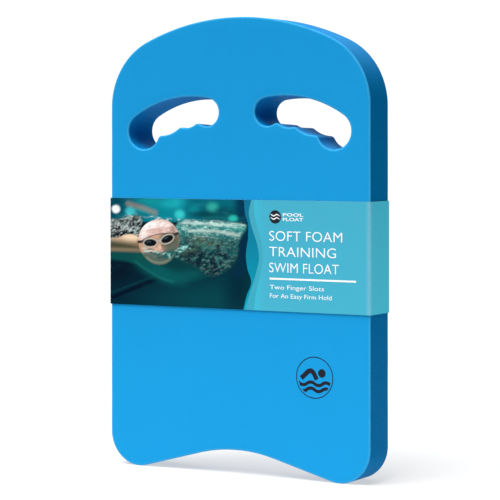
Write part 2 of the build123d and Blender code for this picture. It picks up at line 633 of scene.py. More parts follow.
def wear_and_highlight_breaks(bench: Bench, vector: Socket, mask: Socket, grain: float) -> Socket:
    """Breaks up a mask along a rim or a crease: the wear that handling leaves, and on the slab's rims a
    painted highlight as well.

    Args:
        bench: the material to place it in.
        vector: the coordinates' socket, in metres.
        mask: where wear, and on the rims a painted highlight, can be, from 0 to 1.
        grain: the size of the breaks.

    Returns:
        The broken mask's socket.
    """

    def fill(inner: Bench, given: bpy.types.NodeOutputs) -> dict[str, Socket]:
        """Makes the group's nodes."""
        places = {"Vector": given["Vector"], "Scale": inner.maths("DIVIDE", 1.0, given["Grain"])}
        noise = inner.add("TexNoise", {**places, "Detail": 5.0, "Roughness": 0.7})
        kept = inner.spread(noise.outputs[0], *BREAKS, LEAST_WEAR_AND_HIGHLIGHT, 1.0)
        return {"Mask": inner.maths("MULTIPLY", given["Mask"], kept)}

    tree = Effect.group("wear_and_highlight_breaks", {"Vector": None, "Mask": 0.0, "Grain": 0.004}, {"Mask": "Float"}, fill)
    return Effect.place(bench, tree, {"Vector": vector, "Mask": mask, "Grain": grain}).outputs["Mask"]


FIBRE_STRETCH: Triple = (0.25, 1.0, 1.0)  # fibres run along X
CLOUD_SIZE = 60.0  # in fibres' widths
CLOUD_HEIGHT = 2.0
GLOSS_NOISE = (0.7, 1.3)


def fibres(bench: Bench, vector: Socket, size: float) -> bpy.types.Node:
    """Fibres of coated card: a faint height, and a roughness that comes and goes.

    Args:
        bench: the material to place it in.
        vector: the coordinates' socket, in metres.
        size: the width of a fibre.

    Returns:
        The group node, with outputs Height and Gloss.
    """

    def fill(inner: Bench, given: bpy.types.NodeOutputs) -> dict[str, Socket]:
        """Makes the group's nodes."""
        scale = inner.maths("DIVIDE", 1.0, given["Fibre Size"])
        along = inner.add("VectorMath", {0: given["Vector"], 1: FIBRE_STRETCH}, operation="MULTIPLY")
        fine = inner.add("TexNoise", {"Vector": along.outputs[0], "Scale": scale, "Detail": 4.0})
        slow = inner.maths("DIVIDE", scale, CLOUD_SIZE)
        cloud = inner.add("TexNoise", {"Vector": given["Vector"], "Scale": slow, "Detail": 3.0})
        height = inner.maths("ADD", fine.outputs[0], inner.maths("MULTIPLY", cloud.outputs[0], CLOUD_HEIGHT))
        both = inner.maths("ADD", fine.outputs[0], cloud.outputs[0])
        gloss = inner.spread(both, *GLOSS_NOISE, 0.0, 1.0)
        return {"Height": height, "Gloss": gloss}

    tree = Effect.group(
        "fibres", {"Vector": None, "Fibre Size": 0.0002}, {"Height": "Float", "Gloss": "Float"}, fill
    )
    return Effect.place(bench, tree, {"Vector": vector, "Fibre Size": size})


def srgb(red: int, green: int, blue: int) -> Colour:
    """A linear colour from the 0 to 255 numbers of a colour chart."""
    shares = [value / 255 for value in (red, green, blue)]
    return tuple(s / 12.92 if s <= 0.04045 else ((s + 0.055) / 1.055) ** 2.4 for s in shares)


def new_material(name: str) -> tuple[bpy.types.Material, Bench, bpy.types.Node, Socket]:
    """An empty material with its Principled shader.

    Args:
        name: the material's name.

    Returns:
        The material, its bench, the shader node, and the object coordinates' socket.
    """
    material = bpy.data.materials.new(name)
    material.use_nodes = True
    bench = Bench(material.node_tree)
    shader = material.node_tree.nodes["Principled BSDF"]
    place = bench.add("TexCoord").outputs["Object"]
    return material, bench, shader, place


def dress(
    bench: Bench,
    shader: bpy.types.Node,
    colour: Value,
    rough: Value,
    height: Socket,
    relief: Point,
    shine: float,
) -> None:
    """Feeds a Principled shader.

    Args:
        bench: the material's bench.
        shader: the shader node.
        colour: the surface's colour.
        rough: its roughness.
        height: the height that its bump follows.
        relief: the bump's depth, in metres, and its strength.
        shine: the specular level.
    """
    depth, strength = relief
    bump = bench.add("Bump", {"Height": height, "Distance": depth, "Strength": strength})
    bench.feed(
        shader,
        {"Base Color": colour, "Roughness": rough, "Normal": bump.outputs[0], "Specular IOR Level": shine},
    )


# ---------------------------------------------------------------- finishes
# Lengths are in metres. A relief is a depth and a strength, a mottling is the size of its patches and
# how much they vary, and a roughness is the lowest and the highest.


@dataclass(frozen=True)
class FoamSkin:
    """The slab's smooth faces: fine closed cells, faint mottling, paler rims that are partly worn foam and
    partly a painted highlight, and pits darkened by painted shade.
    """

    name: str = "foam_skin"
    colour: Colour = (0.009, 0.305, 0.665)
    # the rims' pale colour: partly wear, partly a painted highlight along the edges
    pale: Colour = srgb(92, 190, 232)
    rim_share: float = 0.4
    rim_grain: float = 0.003
    cell_size: float = 0.0007
    cell_stretch: Triple = EVEN
    relief: Point = (0.00003, 0.6)
    # how much of the painted shade the pits take, and how dark that shade is
    pit_shade_share: float = 0.1
    pit_shade: float = 0.35
    mottling: Point = (0.035, 0.05)
    roughness: Point = (0.62, 0.8)
    shine: float = 0.05
    shine_tint: Colour = (1.0, 1.0, 1.0)

    def material(self) -> bpy.types.Material:
        """Builds the foam's material."""
        material, bench, shader, place = new_material(self.name)
        cells = closed_cells(bench, place, self.cell_size, self.cell_stretch)
        pits = cells.outputs["Pits"]
        shade = mottle(bench, place, self.colour, *self.mottling)
        # Paler rims: partly worn, pressed foam and partly a painted highlight along the edges.
        rim = bench.add("Attribute", attribute_name="rim").outputs["Fac"]
        rim = bench.maths("MULTIPLY", wear_and_highlight_breaks(bench, place, rim, self.rim_grain), self.rim_share)
        shade = bench.mix(rim, shade, self.pale)
        # Painted shade: the open pits between the cells are darkened.
        dark = tuple(self.pit_shade * c for c in self.colour)
        shade = bench.mix(bench.maths("MULTIPLY", pits, self.pit_shade_share), shade, dark)
        rough = bench.spread(pits, 0.0, 1.0, *self.roughness)
        dress(bench, shader, shade, rough, cells.outputs["Height"], self.relief, self.shine)
        bench.feed(shader, {"Specular Tint": (*self.shine_tint, 1.0)})
        return material


@dataclass(frozen=True)
class PrintInk:
    """One flat colour of ink, a little uneven where it was pressed on."""

    name: str
    colour: Colour
    grain: float = 0.0006
    heights: Point = (0.2, 1.2)
    relief: Point = (0.00002, 0.5)
    mottling: Point = (0.004, 0.12)
    roughness: Point = (0.45, 0.7)
    shine: float = 0.3

    def material(self) -> bpy.types.Material:
        """Builds the ink's material."""
        material, bench, shader, place = new_material(self.name)
        height = closed_cells(bench, place, self.grain).outputs["Height"]
        shade = mottle(bench, place, self.colour, *self.mottling)
        rough = bench.spread(height, *self.heights, *self.roughness)
        dress(bench, shader, shade, rough, height, self.relief, self.shine)
        return material


@dataclass(frozen=True)
class CardStock:
    """What every finish of the card shares: its fibres, its relief and its gloss."""

    name: str
    fibre: float = 0.00025
    relief: Point = (0.00002, 0.5)
    mottling: Point = (0.02, 0.02)
    roughness: Point = (0.4, 0.56)
    shine: float = 0.03

    def material(self) -> bpy.types.Material:
        """Builds the card's material."""
        material, bench, shader, place = new_material(self.name)
        sheet = fibres(bench, place, self.fibre)
        rough = bench.spread(sheet.outputs["Gloss"], 0.0, 1.0, *self.roughness)
        shade = self.shade(bench, place)
        dress(bench, shader, shade, rough, sheet.outputs["Height"], self.relief, self.shine)
        return material

    def shade(self, bench: Bench, place: Socket) -> Socket:
        """The card's colour: here, what the piece's own vertices hold, for print in many colours."""
        paint = bench.add("Attribute", attribute_name="paint").outputs["Color"]
        return mottle(bench, place, paint, *self.mottling)


@dataclass(frozen=True)
class PrintedCard(CardStock):
    """Coated card, printed one colour that lightens beside the wave and on the side panels."""

    name: str = "printed_card"
    mottling: Point = (0.03, 0.03)
    roughness: Point = (0.42, 0.58)
    colour: Colour = srgb(70, 172, 198)
    light: Colour = srgb(58, 188, 214)
    side: Colour = srgb(88, 223, 252)
    bare: Colour = srgb(205, 228, 234)
    crease_grain: float = 0.002

    def shade(self, bench: Bench, place: Socket) -> Socket:
        """The print's colour, worn to bare card along the creases."""
        names = ("wash", "side", "crease")
        wash, side, crease = (bench.add("Attribute", attribute_name=name).outputs["Fac"] for name in names)
        shade = bench.mix(wash, self.colour, self.light)
        shade = bench.mix(side, shade, self.side)
        shade = mottle(bench, place, shade, *self.mottling)
        return bench.mix(wear_and_highlight_breaks(bench, place, crease, self.crease_grain), shade, self.bare)


@dataclass(frozen=True)
class CardCore(CardStock):
    """The bare cut edge of the card."""

    name: str = "card_core"
    fibre: float = 0.0002
    relief: Point = (0.00005, 0.7)
    mottling: Point = (0.002, 0.2)
    roughness: Point = (0.8, 0.95)
    shine: float = 0.5
    colour: Colour = srgb(226, 226, 218)

    def shade(self, bench: Bench, place: Socket) -> Socket:
        """The bare card's colour."""
        return mottle(bench, place, self.colour, *self.mottling)


@dataclass(frozen=True)
class FloorFinish:
    """The studio's plain pale floor."""

    colour: Colour = (0.3, 0.3, 0.3)
    mottling: Point = (0.3, 0.01)
    roughness: float = 0.95
    shine: float = 0.0
    glow_colour: Colour = (1.0, 1.0, 1.0)
    glow: float = 0.56

    def material(self) -> bpy.types.Material:
        """Builds the floor's material."""
        material, bench, shader, place = new_material("pale_floor")
        bench.feed(
            shader,
            {
                "Base Color": mottle(bench, place, self.colour, *self.mottling),
                "Roughness": self.roughness,
                "Specular IOR Level": self.shine,
                "Emission Color": (*self.glow_colour, 1.0),
                "Emission Strength": self.glow,
            },
        )
        return material


def dress_node(name: str, ink: PrintInk) -> bpy.types.Object:
    """Gives a carried-over node's own solids their finish."""
    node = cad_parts[name]
    node.data.materials.clear()
    node.data.materials.append(ink.material())
    return node


# ---------------------------------------------------------------- the foam board


class FoamSide(Enum):
    """Which of the slab's two materials a face takes."""

    SKIN = 0
    CUT = 1


@dataclass
class Draft:
    """The slab's mesh in the making: its points with their rims' wear and painted highlight, and its faces
    with their side.
    """

    points: list[np.ndarray] = field(default_factory=list)
    wear_and_highlight: list[np.ndarray] = field(default_factory=list)
    faces: list[tuple[int, ...]] = field(default_factory=list)
    sides: list[int] = field(default_factory=list)
    count: int = 0

    def add_points(self, flat: np.ndarray, depth: np.ndarray, wear_and_highlight: float) -> np.ndarray:
        """Adds points.

        Args:
            flat: their X and Z, shape (count, 2).
            depth: their Y.
            wear_and_highlight: how much of the rim's wear and painted highlight they take.

        Returns:
            Their numbers in the mesh.
        """
        self.points.append(np.stack([flat[:, 0], depth, flat[:, 1]], axis=1))
        self.wear_and_highlight.append(np.full(len(flat), wear_and_highlight))
        self.count += len(flat)
        return np.arange(self.count - len(flat), self.count)

    def add_faces(self, corners: np.ndarray, side: FoamSide) -> None:
        """Adds faces by the numbers of their corners, shape (faces, corners of each)."""
        self.faces += corners.tolist()
        self.sides += [side.value] * len(corners)


@dataclass
class FoamBoard:
    """The foam slab and the mark printed on it.

    Its faces sag beside each cut and swell gently between, and its walls wobble a little.
    """

    shape: BoardShape = field(default_factory=BoardShape)
    slot: SlotShape = field(default_factory=SlotShape)
    skin: FoamSkin = field(default_factory=FoamSkin)
    cut: FoamSkin = field(
        default_factory=lambda: FoamSkin(
            name="foam_cut",
            colour=(0.0003, 0.19, 0.475),
            # a paler rim: partly wear, partly a painted highlight
            pale=srgb(70, 165, 215),
            rim_share=0.3,
            cell_size=0.0009,
            cell_stretch=(1.0, 0.3, 1.0),
            relief=(0.0001, 0.6),
            # the pits take more of the painted shade on the cut wall
            pit_shade_share=0.3,
            mottling=(0.02, 0.1),
            roughness=(0.5, 0.62),
            shine=0.01,
            shine_tint=(0.1, 0.6, 1.0),
        )
    )
    ink: PrintInk = field(default_factory=lambda: PrintInk("mark_ink", srgb(10, 14, 34)))
    ease: float = 0.0012
    ease_steps: int = 5
    wall_rings: int = 10
    rim_step: float = 0.0016
    face_step: float = 0.004
    sag_depth: float = 0.0002
    sag_reach: float = 0.004
    swell: Ripple = Ripple(11)
    swell_depth: float = 0.00015
    swell_size: float = 0.05
    swell_start: float = 9.0
    swell_octaves: int = 2
    wobble: Ripple = Ripple(5)
    wobble_depth: float = 0.00012
    wobble_size: float = 0.018
    wobble_start: float = 20.0
    wobble_slant: float = 90.0
    rim_margin: float = 0.0008

    def profile(self, half_thickness: float) -> list[tuple[float, float, float, float]]:
        """The rim's section, from the front face over the wall to the back face.

        Args:
            half_thickness: half of the slab's thickness.

        Returns:
            For each ring, how far in from the wall it lies, its depth Y, how much of the face's
            own sinking it takes, and how much of the rim's wear and painted highlight.
        """
        ease, margin = self.ease, self.rim_margin
        turns = [math.pi / 2 * k / self.ease_steps for k in range(self.ease_steps + 1)]
        rim = [
            (ease * (1 - math.sin(turn)), ease * (1 - math.cos(turn)) - half_thickness, math.cos(turn), 1.0)
            for turn in turns
        ]
        wall = half_thickness - ease - margin
        front = [(ease + margin, -half_thickness, 1.0, 0.0), *rim, (0.0, -wall, 0.0, 0.0)]
        middle = [(0.0, wall * (2 * k / self.wall_rings - 1), 0.0, 0.0) for k in range(1, self.wall_rings)]
        return front + middle + [(inset, -y, sink, wear_and_highlight) for inset, y, sink, wear_and_highlight in reversed(front)]

    def sinking(self, places: np.ndarray, walls: np.ndarray) -> np.ndarray:
        """How far the faces lie below dead flat: rolled over at each cut, and gently uneven.

        Args:
            places: points of the face, shape (count, 2).
            walls: points of every wall, shape (count, 2).

        Returns:
            A depth for each place.
        """
        far = nearest(places, walls)
        x, z = (places / self.swell_size).T
        uneven = self.swell.layered(x + self.swell_start, z, self.swell_octaves)
        low, high = (np.array(corner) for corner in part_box("printed_mark"))
        mark = (low + high)[[0, 2]] / 2
        clear = (high - low)[0] / 2
        off_mark = smooth_step(np.linalg.norm(places - mark, axis=1), clear, 2 * clear)
        rolled = self.sag_depth * np.exp(-((far / self.sag_reach) ** 2))
        return rolled + self.swell_depth * uneven * off_mark

    def loops(self, half_width: float, height: float) -> list[tuple[np.ndarray, np.ndarray, np.ndarray]]:
        """The board's outer edge, then each slot's.

        Args:
            half_width: half of the board's width.
            height: the board's height.

        Returns:
            For each loop, its points on the front face, the same points on the back face, and the
            directions from its wall into the foam.
        """
        points, normals = self.shape.outline(half_width, height).sample(self.rim_step)
        loops = [(points, points, -normals)]
        front, back = self.slot.outline(0), self.slot.outline(1)
        for fore, aft in ((front, back), (front.mirrored(), back.mirrored())):
            points, normals = fore.sample(self.rim_step)
            loops.append((points, aft.sample(self.rim_step, fore)[0], normals))
        return loops

    def add_wall(
        self, draft: Draft, loop: tuple, walls: np.ndarray, half_thickness: float
    ) -> list[np.ndarray]:
        """Adds the wall along one loop, with its eased rims.

        Args:
            draft: the mesh to add it to.
            loop: one of the loops that self.loops gives.
            walls: points of every wall, shape (count, 2).
            half_thickness: half of the slab's thickness.

        Returns:
            The numbers of each ring's points, from the front ring to the back one.
        """
        fore, aft, inward = loop
        hole = draft.count > 0  # the first loop is the board's outer edge
        rings = []
        for inset, depth, sink, wear_and_highlight in self.profile(half_thickness):
            share = (depth + half_thickness) / (2 * half_thickness)
            ring = fore * (1 - share) + aft * share + inward * inset
            x, z = (ring / self.wobble_size).T
            wave = self.wobble.at(x + self.wobble_start, z + depth * self.wobble_slant)
            ring = ring + inward * ((wave - 0.5) * self.wobble_depth)[:, None]
            drop = self.sinking(ring, walls) * sink * -math.copysign(1.0, depth)
            rings.append(draft.add_points(ring, depth + drop, wear_and_highlight))
        eased = self.ease_steps + 1
        for k, (a, b) in enumerate(zip(rings, rings[1:])):
            quads = np.stack([a, b, np.roll(b, -1), np.roll(a, -1)], axis=1)
            on_rim = k < eased or k >= len(rings) - 1 - eased
            draft.add_faces(quads[:, ::-1] if hole else quads, FoamSide.SKIN if on_rim else FoamSide.CUT)
        return rings

    def build(self) -> bpy.types.Object:
        """Builds the slab and dresses it."""
        _, (half_width, half_thickness, height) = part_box("foam_board")
        loops = self.loops(half_width, height)
        walls = np.concatenate([fore for fore, _, _ in loops])
        draft = Draft()
        edges, seams = [], []
        fronts, backs = [], []
        for loop in loops:
            rings = self.add_wall(draft, loop, walls, half_thickness)
            size = len(rings[0])
            seams += [(len(seams) + i, len(seams) + (i + 1) % size) for i in range(size)]
            edges.append(draft.points[-len(rings)][:, [0, 2]])
            fronts.append(rings[0])
            backs.append(rings[-1])

        grid = self.face_grid(edges, half_width, height)
        depth = half_thickness - self.sinking(grid, walls)
        fronts.append(draft.add_points(grid, -depth, 0.0))
        backs.append(draft.add_points(grid, depth, 0.0))
        triangles = fill_face(np.concatenate([*edges, grid]), seams, edges)
        draft.add_faces(np.concatenate(fronts)[triangles], FoamSide.SKIN)
        draft.add_faces(np.concatenate(backs)[triangles[:, ::-1]], FoamSide.SKIN)

        board = new_piece("foam_slab", np.concatenate(draft.points), draft.faces)
        # the rim attribute: where the rims pale, as wear and as a painted highlight
        set_values(board, "rim", np.concatenate(draft.wear_and_highlight))
        board.data.materials.append(self.skin.material())
        board.data.materials.append(self.cut.material())
        board.data.polygons.foreach_set("material_index", np.array(draft.sides, np.int32))
        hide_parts("foam_board")
        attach(board, Body.BOARD.value)
        return board

    def face_grid(self, loops: list[np.ndarray], half_width: float, height: float) -> np.ndarray:
        """Points over the face, clear of its edges, in staggered rows.

        Args:
            loops: the face's outer edge, then each hole's.
            half_width: half of the board's width.
            height: the board's height.

        Returns:
            The points, shape (count, 2).
        """
        rows = np.arange(0.0, height, self.face_step * math.sqrt(3) / 2)
        across = np.arange(-half_width, half_width, self.face_step)
        x, z = np.meshgrid(across, rows)
        x = x + (np.arange(len(rows)) % 2)[:, None] * self.face_step / 2
        points = np.stack([x.ravel(), z.ravel()], axis=1)
        keep = inside(points, loops[0])
        for hole in loops[1:]:
            keep &= ~inside(points, hole)
        keep &= nearest(points, np.concatenate(loops)) > self.face_step / 2
        return points[keep]

    def dress_mark(self) -> bpy.types.Object:
        """Gives the mark's own solids their ink."""
        return dress_node("printed_mark", self.ink)


BATCH = 500  # places measured at a time, which keeps the table of distances small
MERGE_GAP = 1e-7  # points nearer than this are filled in as one


def nearest(places: np.ndarray, others: np.ndarray) -> np.ndarray:
    """The distance from each place to the nearest of some other points, both of shape (count, 2)."""
    return np.concatenate(
        [
            np.sqrt(((some[:, None, :] - others[None, :, :]) ** 2).sum(axis=2).min(axis=1))
            for some in np.array_split(places, max(1, len(places) // BATCH))
        ]
    )


def fill_face(points: np.ndarray, seams: list[tuple[int, int]], loops: list[np.ndarray]) -> np.ndarray:
    """Triangles that fill a face with holes.

    Args:
        points: the face's points, its loops' first.
        seams: pairs of points along the loops, which triangles don't cross.
        loops: the outer loop, then each hole's.

    Returns:
        Corner numbers of each triangle, anticlockwise, shape (count, 3).
    """
    flat = [Vector(point) for point in points.tolist()]
    _, _, triangles, came_from, _, _ = delaunay_2d_cdt(flat, seams, [], 0, MERGE_GAP)
    source = [origin[0] for origin in came_from]
    corners = np.array([[source[i] for i in t] for t in triangles])
    middles = points[corners].mean(axis=1)
    keep = inside(middles, loops[0])
    for hole in loops[1:]:
        keep &= ~inside(middles, hole)
    return corners[keep]


# ---------------------------------------------------------------- the sleeve


CREASE_TURN = math.radians(12)  # between two points of a round corner


def rounded_path(corners: Sequence[Triple], step: float) -> tuple[np.ndarray, np.ndarray]:
    """A path of straight runs and round corners, seen from above.

    Args:
        corners: X, Y and radius of each corner, the first and last being the ends.
        step: the longest distance between two points of a straight run.

    Returns:
        The points and the normals on the right of the way, each of shape (count, 2).
    """
    places = [np.array(corner[:2]) for corner in corners]
    ways = [(b - a) / np.linalg.norm(b - a) for a, b in zip(places, places[1:])]
    points, headings = [], []
    begin = places[0]
    for k, way in enumerate(ways):
        last = k == len(ways) - 1
        turn = 0.0 if last else math.atan2(float(np.cross(way, ways[k + 1])), float(way @ ways[k + 1]))
        radius = 0.0 if last else corners[k + 1][2]
        trim = radius * math.tan(abs(turn) / 2)
        end = places[k + 1] - way * trim
        count = max(1, math.ceil(np.linalg.norm(end - begin) / step))
        for share in np.arange(count + (1 if last else 0)) / count:
            points.append(begin + (end - begin) * share)
            headings.append(math.atan2(way[1], way[0]))
        if last:
            break
        side = math.copysign(1.0, turn)
        centre = end + radius * side * np.array([-way[1], way[0]])
        steps = max(2, math.ceil(abs(turn) / CREASE_TURN))
        base = math.atan2(way[1], way[0])
        for share in np.arange(steps) / steps:
            heading = base + turn * share
            points.append(centre + radius * side * np.array([math.sin(heading), -math.cos(heading)]))
            headings.append(heading)
        begin = places[k + 1] + ways[k + 1] * trim
    way = np.array(headings)
    return np.array(points), np.stack([np.sin(way), -np.cos(way)], axis=1)


def curve_through(knots: Sequence[Point], heights: np.ndarray) -> np.ndarray:
    """A smooth curve through knots.

    Args:
        knots: (height, distance) of each knot, upwards, in millimetres.
        heights: where to read the curve, in metres.

    Returns:
        The distance at each height, in metres.
    """
    z, u = np.array(knots).T / METRE
    slopes = np.gradient(u, z)
    k = np.clip(np.searchsorted(z, heights) - 1, 0, len(z) - 2)
    span = z[k + 1] - z[k]
    t = np.clip((heights - z[k]) / span, 0.0, 1.0)
    return (
        (2 * t**3 - 3 * t**2 + 1) * u[k]
        + (t**3 - 2 * t**2 + t) * span * slopes[k]
        + (3 * t**2 - 2 * t**3) * u[k + 1]
        + (t**3 - t**2) * span * slopes[k + 1]
    )


@dataclass
class CardWrap:
    """Where the card runs: once round the board, lapped over its own start behind."""

    thickness: float = 0.0005
    crease: float = 0.001
    lap_x: float = -0.05
    lap_length: float = 0.02
    step_clearance: float = 0.001
    step_run: float = 0.004
    step_radius: float = 0.003
    point_gap: float = 0.004

    def __post_init__(self) -> None:
        """Reads the CAD sleeve's box and lays the card's middle line in it."""
        low, high = (np.array(corner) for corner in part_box("card_sleeve"))
        self.foot, self.head = float(low[2]), float(high[2])
        self.side = float(high[0]) - self.thickness / 2
        self.face = -float(low[1]) - self.thickness / 2
        self.flap = float(high[1]) - self.thickness / 2
        step_end = self.lap_x + self.step_clearance
        corners = [
            (self.lap_x, self.face, 0.0),
            (-self.side, self.face, self.crease),
            (-self.side, -self.face, self.crease),
            (self.side, -self.face, self.crease),
            (self.side, self.face, self.crease),
            (step_end + self.step_run, self.face, self.step_radius),
            (step_end, self.flap, self.step_radius),
            (self.lap_x - self.lap_length, self.flap, 0.0),
        ]
        self.points, self.normals = rounded_path(corners, self.point_gap)
        gaps = np.diff(self.points, axis=0, prepend=self.points[:1])
        length = np.cumsum(np.linalg.norm(gaps, axis=1))
        front = np.nonzero(np.abs(self.points[:, 1] + self.face) < self.thickness / 10)[0]
        k = front[len(front) // 2]
        self.along = length - length[k] + self.points[k, 0]

    @property
    def fold(self) -> float:
        """How far along the card the middle of each front fold is."""
        return self.side - self.crease * (1 - math.pi / 4)

    @property
    def far_fold(self) -> float:
        """How far along the card the middle of each back fold is."""
        return self.fold + 2 * (self.face - self.crease * (1 - math.pi / 4))

    def place(self, along: np.ndarray, height: np.ndarray, lift: float) -> np.ndarray:
        """Points over the card's middle line.

        Args:
            along: distance along the card from the middle of the front panel.
            height: height Z of each point.
            lift: how far out of the middle line.

        Returns:
            The points, with a last axis of three.
        """
        line = [np.interp(along, self.along, self.points[:, axis]) for axis in (0, 1)]
        out = [np.interp(along, self.along, self.normals[:, axis]) for axis in (0, 1)]
        return np.stack([line[0] + out[0] * lift, line[1] + out[1] * lift, height], axis=-1)


@dataclass
class CardSleeve:
    """The sleeve's card: folded at four creases, glued in a lap behind, bare at its cut edges."""

    wrap: CardWrap
    finish: PrintedCard = field(default_factory=PrintedCard)
    core: CardCore = field(default_factory=CardCore)
    rows: int = 28
    wash_from: float = 0.012
    wash_to: float = 0.034
    crease_reach: float = 0.0012
    crease_wear: float = 0.35

    def build(self) -> bpy.types.Object:
        """Builds the card and dresses it."""
        wrap = self.wrap
        heights = np.linspace(wrap.foot, wrap.head, self.rows)
        along, height = np.meshgrid(wrap.along, heights)
        outer = wrap.place(along, height, wrap.thickness / 2)
        inner = wrap.place(along, height, -wrap.thickness / 2)
        card, on_rim = slab("card_band", outer, inner)
        reach = np.abs(along)
        off = np.minimum(np.abs(reach - wrap.fold), np.abs(reach - wrap.far_fold))
        masks = {
            "crease": self.crease_wear * np.exp(-((off / self.crease_reach) ** 2)),
            "side": (reach > wrap.fold) & (reach < wrap.far_fold),
            "wash": smooth_step(along, self.wash_to, self.wash_from) * (reach < wrap.fold),
        }
        for name, values in masks.items():
            set_values(card, name, np.tile(values.ravel(), 2))
        card.data.materials.append(self.finish.material())
        card.data.materials.append(self.core.material())
        card.data.polygons.foreach_set("material_index", on_rim.astype(np.int32))
        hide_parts("card_sleeve")
        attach(card, Body.SLEEVE.value)
        return card


@dataclass
class Film:
    """Prints on the card: thin closed films that follow its outer face."""

    wrap: CardWrap
    gap: float = 0.00001
    thickness: float = 0.00003

    def base(self, layer: int) -> float:
        """How far out of the card's middle line the back of a film is, over so many others."""
        return self.wrap.thickness / 2 + self.gap + layer * (self.gap + self.thickness)

    def lay(self, name: str, along: np.ndarray, height: np.ndarray, layer: int = 0) -> bpy.types.Object:
        """Lays a film over a grid of places on the card.

        Args:
            name: the piece's name.
            along: distance along the card of each grid point.
            height: height Z of each grid point.
            layer: how many films lie under this one.

        Returns:
            The film, riding on the sleeve.
        """
        base = self.base(layer)
        front = self.wrap.place(along, height, base + self.thickness)
        back = self.wrap.place(along, height, base)
        film, _ = slab(name, front, back)
        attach(film, Body.SLEEVE.value)
        return film


@dataclass
class WaveArt:
    """The waves between the picture and the words: three curves that rise over the card.

    Each curve's knots are (height over the card's foot, distance from its middle), in millimetres.
    Each band's colours are at its foot and at its head.
    """

    picture_edge: tuple[Point, ...] = (
        (0, 8.3), (14, 12.3), (25.5, 16.9), (39, 12.8), (50, 11.2),
        (70, 13.6), (81, 13.3), (91, 10.2), (104, 9.1),
    )
    crest_left: tuple[Point, ...] = (
        (0, 9.9), (20, 16.9), (39, 23.2), (49.5, 25.3),
        (60, 23.7), (83, 15.9), (91, 14.3), (104, 17.1),
    )
    crest_right: tuple[Point, ...] = (
        (0, 19.5), (18, 22.5), (39, 27.6), (50, 29.2),
        (60, 28.6), (81, 22.7), (91, 20.1), (104, 20.1),
    )
    shade_colours: tuple[Colour, Colour] = (srgb(6, 150, 174), srgb(18, 108, 142))
    crest_colours: tuple[Colour, Colour] = (srgb(60, 164, 188), srgb(68, 164, 186))
    rows: int = 160
    columns: int = 12

    def strip(self, film: Film, name: str, sides: Sequence, ends: tuple[Colour, Colour]) -> bpy.types.Object:
        """One band of the waves, shaded from its foot to its head.

        Args:
            film: lays it on the card.
            name: the piece's name.
            sides: the band's left curve and its right curve.
            ends: its colours at the foot and at the head.

        Returns:
            The band.
        """
        wrap = film.wrap
        height = np.linspace(wrap.foot, wrap.head, self.rows)
        low, high = (curve_through(knots, height - wrap.foot)[:, None] for knots in sides)
        share = np.linspace(0.0, 1.0, self.columns)[None, :]
        along = low + (high - low) * share
        tall = np.repeat(height[:, None], self.columns, axis=1)
        band = film.lay(name, along, tall)
        rise = ((tall - wrap.foot) / (wrap.head - wrap.foot)).ravel()[:, None]
        colours = np.array(ends[0]) * (1 - rise) + np.array(ends[1]) * rise
        set_colours(band, "paint", np.tile(colours, (2, 1)))
        return band

    def build(self, film: Film, finish: bpy.types.Material) -> list[bpy.types.Object]:
        """Builds both bands and dresses them."""
        bands = [
            self.strip(film, "wave_shade", (self.picture_edge, self.crest_left), self.shade_colours),
            self.strip(film, "wave_crest", (self.crest_left, self.crest_right), self.crest_colours),
        ]
        for band in bands:
            band.data.materials.append(finish)
        return bands


# ---------------------------------------------------------------- the painted picture


@dataclass(frozen=True)
class Grain:
    """Flecks of two colours: their size along and across, their direction and their strength."""

    seed: int
    size: Point
    dark: Colour
    light: Colour
    contrast: float = 3.0
    turn: float = 0.0
    start: float = 40.0
    dark_rise: Point = (0.0, 0.7)
    light_rise: Point = (0.05, 0.9)


@dataclass(frozen=True)
class Blob:
    """A soft oval of one colour."""

    centre: Point
    size: Point
    colour: Colour
    strength: float = 1.0
    soft: float = 0.5
    turn: float = 0.0

    def cover(self, across: np.ndarray, up: np.ndarray) -> np.ndarray:
        """How much of the blob covers each place."""
        turn = math.radians(self.turn)
        x, y = across - self.centre[0], up - self.centre[1]
        p = (x * math.cos(turn) + y * math.sin(turn)) / self.size[0]
        q = (y * math.cos(turn) - x * math.sin(turn)) / self.size[1]
        return self.strength * smooth_step(np.hypot(p, q), 1 + self.soft, 1 - self.soft)


@dataclass(frozen=True)
class Patch:
    """A filled outline of one colour with a soft edge."""

    outline: tuple[Point, ...]
    colour: Colour
    soft: float = 1.0
    strength: float = 1.0

    def cover(self, across: np.ndarray, up: np.ndarray) -> np.ndarray:
        """How much of the patch covers each place."""
        loop = rounded_loop(self.outline)
        places = np.stack([across.ravel(), up.ravel()], axis=1)
        depth = line_distance(places, np.concatenate([loop, loop[:1]]))
        depth = np.where(inside(places, loop), depth, -depth).reshape(across.shape)
        return self.strength * smooth_step(depth, -self.soft, self.soft)


@dataclass(frozen=True)
class Stroke:
    """A line of one colour, soft at its sides."""

    line: tuple[Point, ...]
    width: float
    colour: Colour
    strength: float = 1.0
    soft: float = 0.5

    def cover(self, across: np.ndarray, up: np.ndarray) -> np.ndarray:
        """How much of the stroke covers each place."""
        places = np.stack([across.ravel(), up.ravel()], axis=1)
        off = line_distance(places, np.array(self.line)).reshape(across.shape) / (self.width / 2)
        return self.strength * smooth_step(off, 1 + self.soft, 1 - self.soft)


Shape = Blob | Patch | Stroke
MASK: Colour = (0, 0, 0)  # for a shape that only says where another colour goes


CORNER_CUT = 0.25  # of each side, taken off at both its ends


def rounded_loop(outline: Sequence[Point], rounds: int = 3) -> np.ndarray:
    """A closed outline with its corners cut down a few times, so that it reads as a curve."""
    loop = np.array(outline, float)
    for _ in range(rounds):
        after = np.roll(loop, -1, axis=0)
        ends = [loop * (1 - cut) + after * cut for cut in (CORNER_CUT, 1 - CORNER_CUT)]
        loop = np.stack(ends, axis=1).reshape(-1, 2)
    return loop


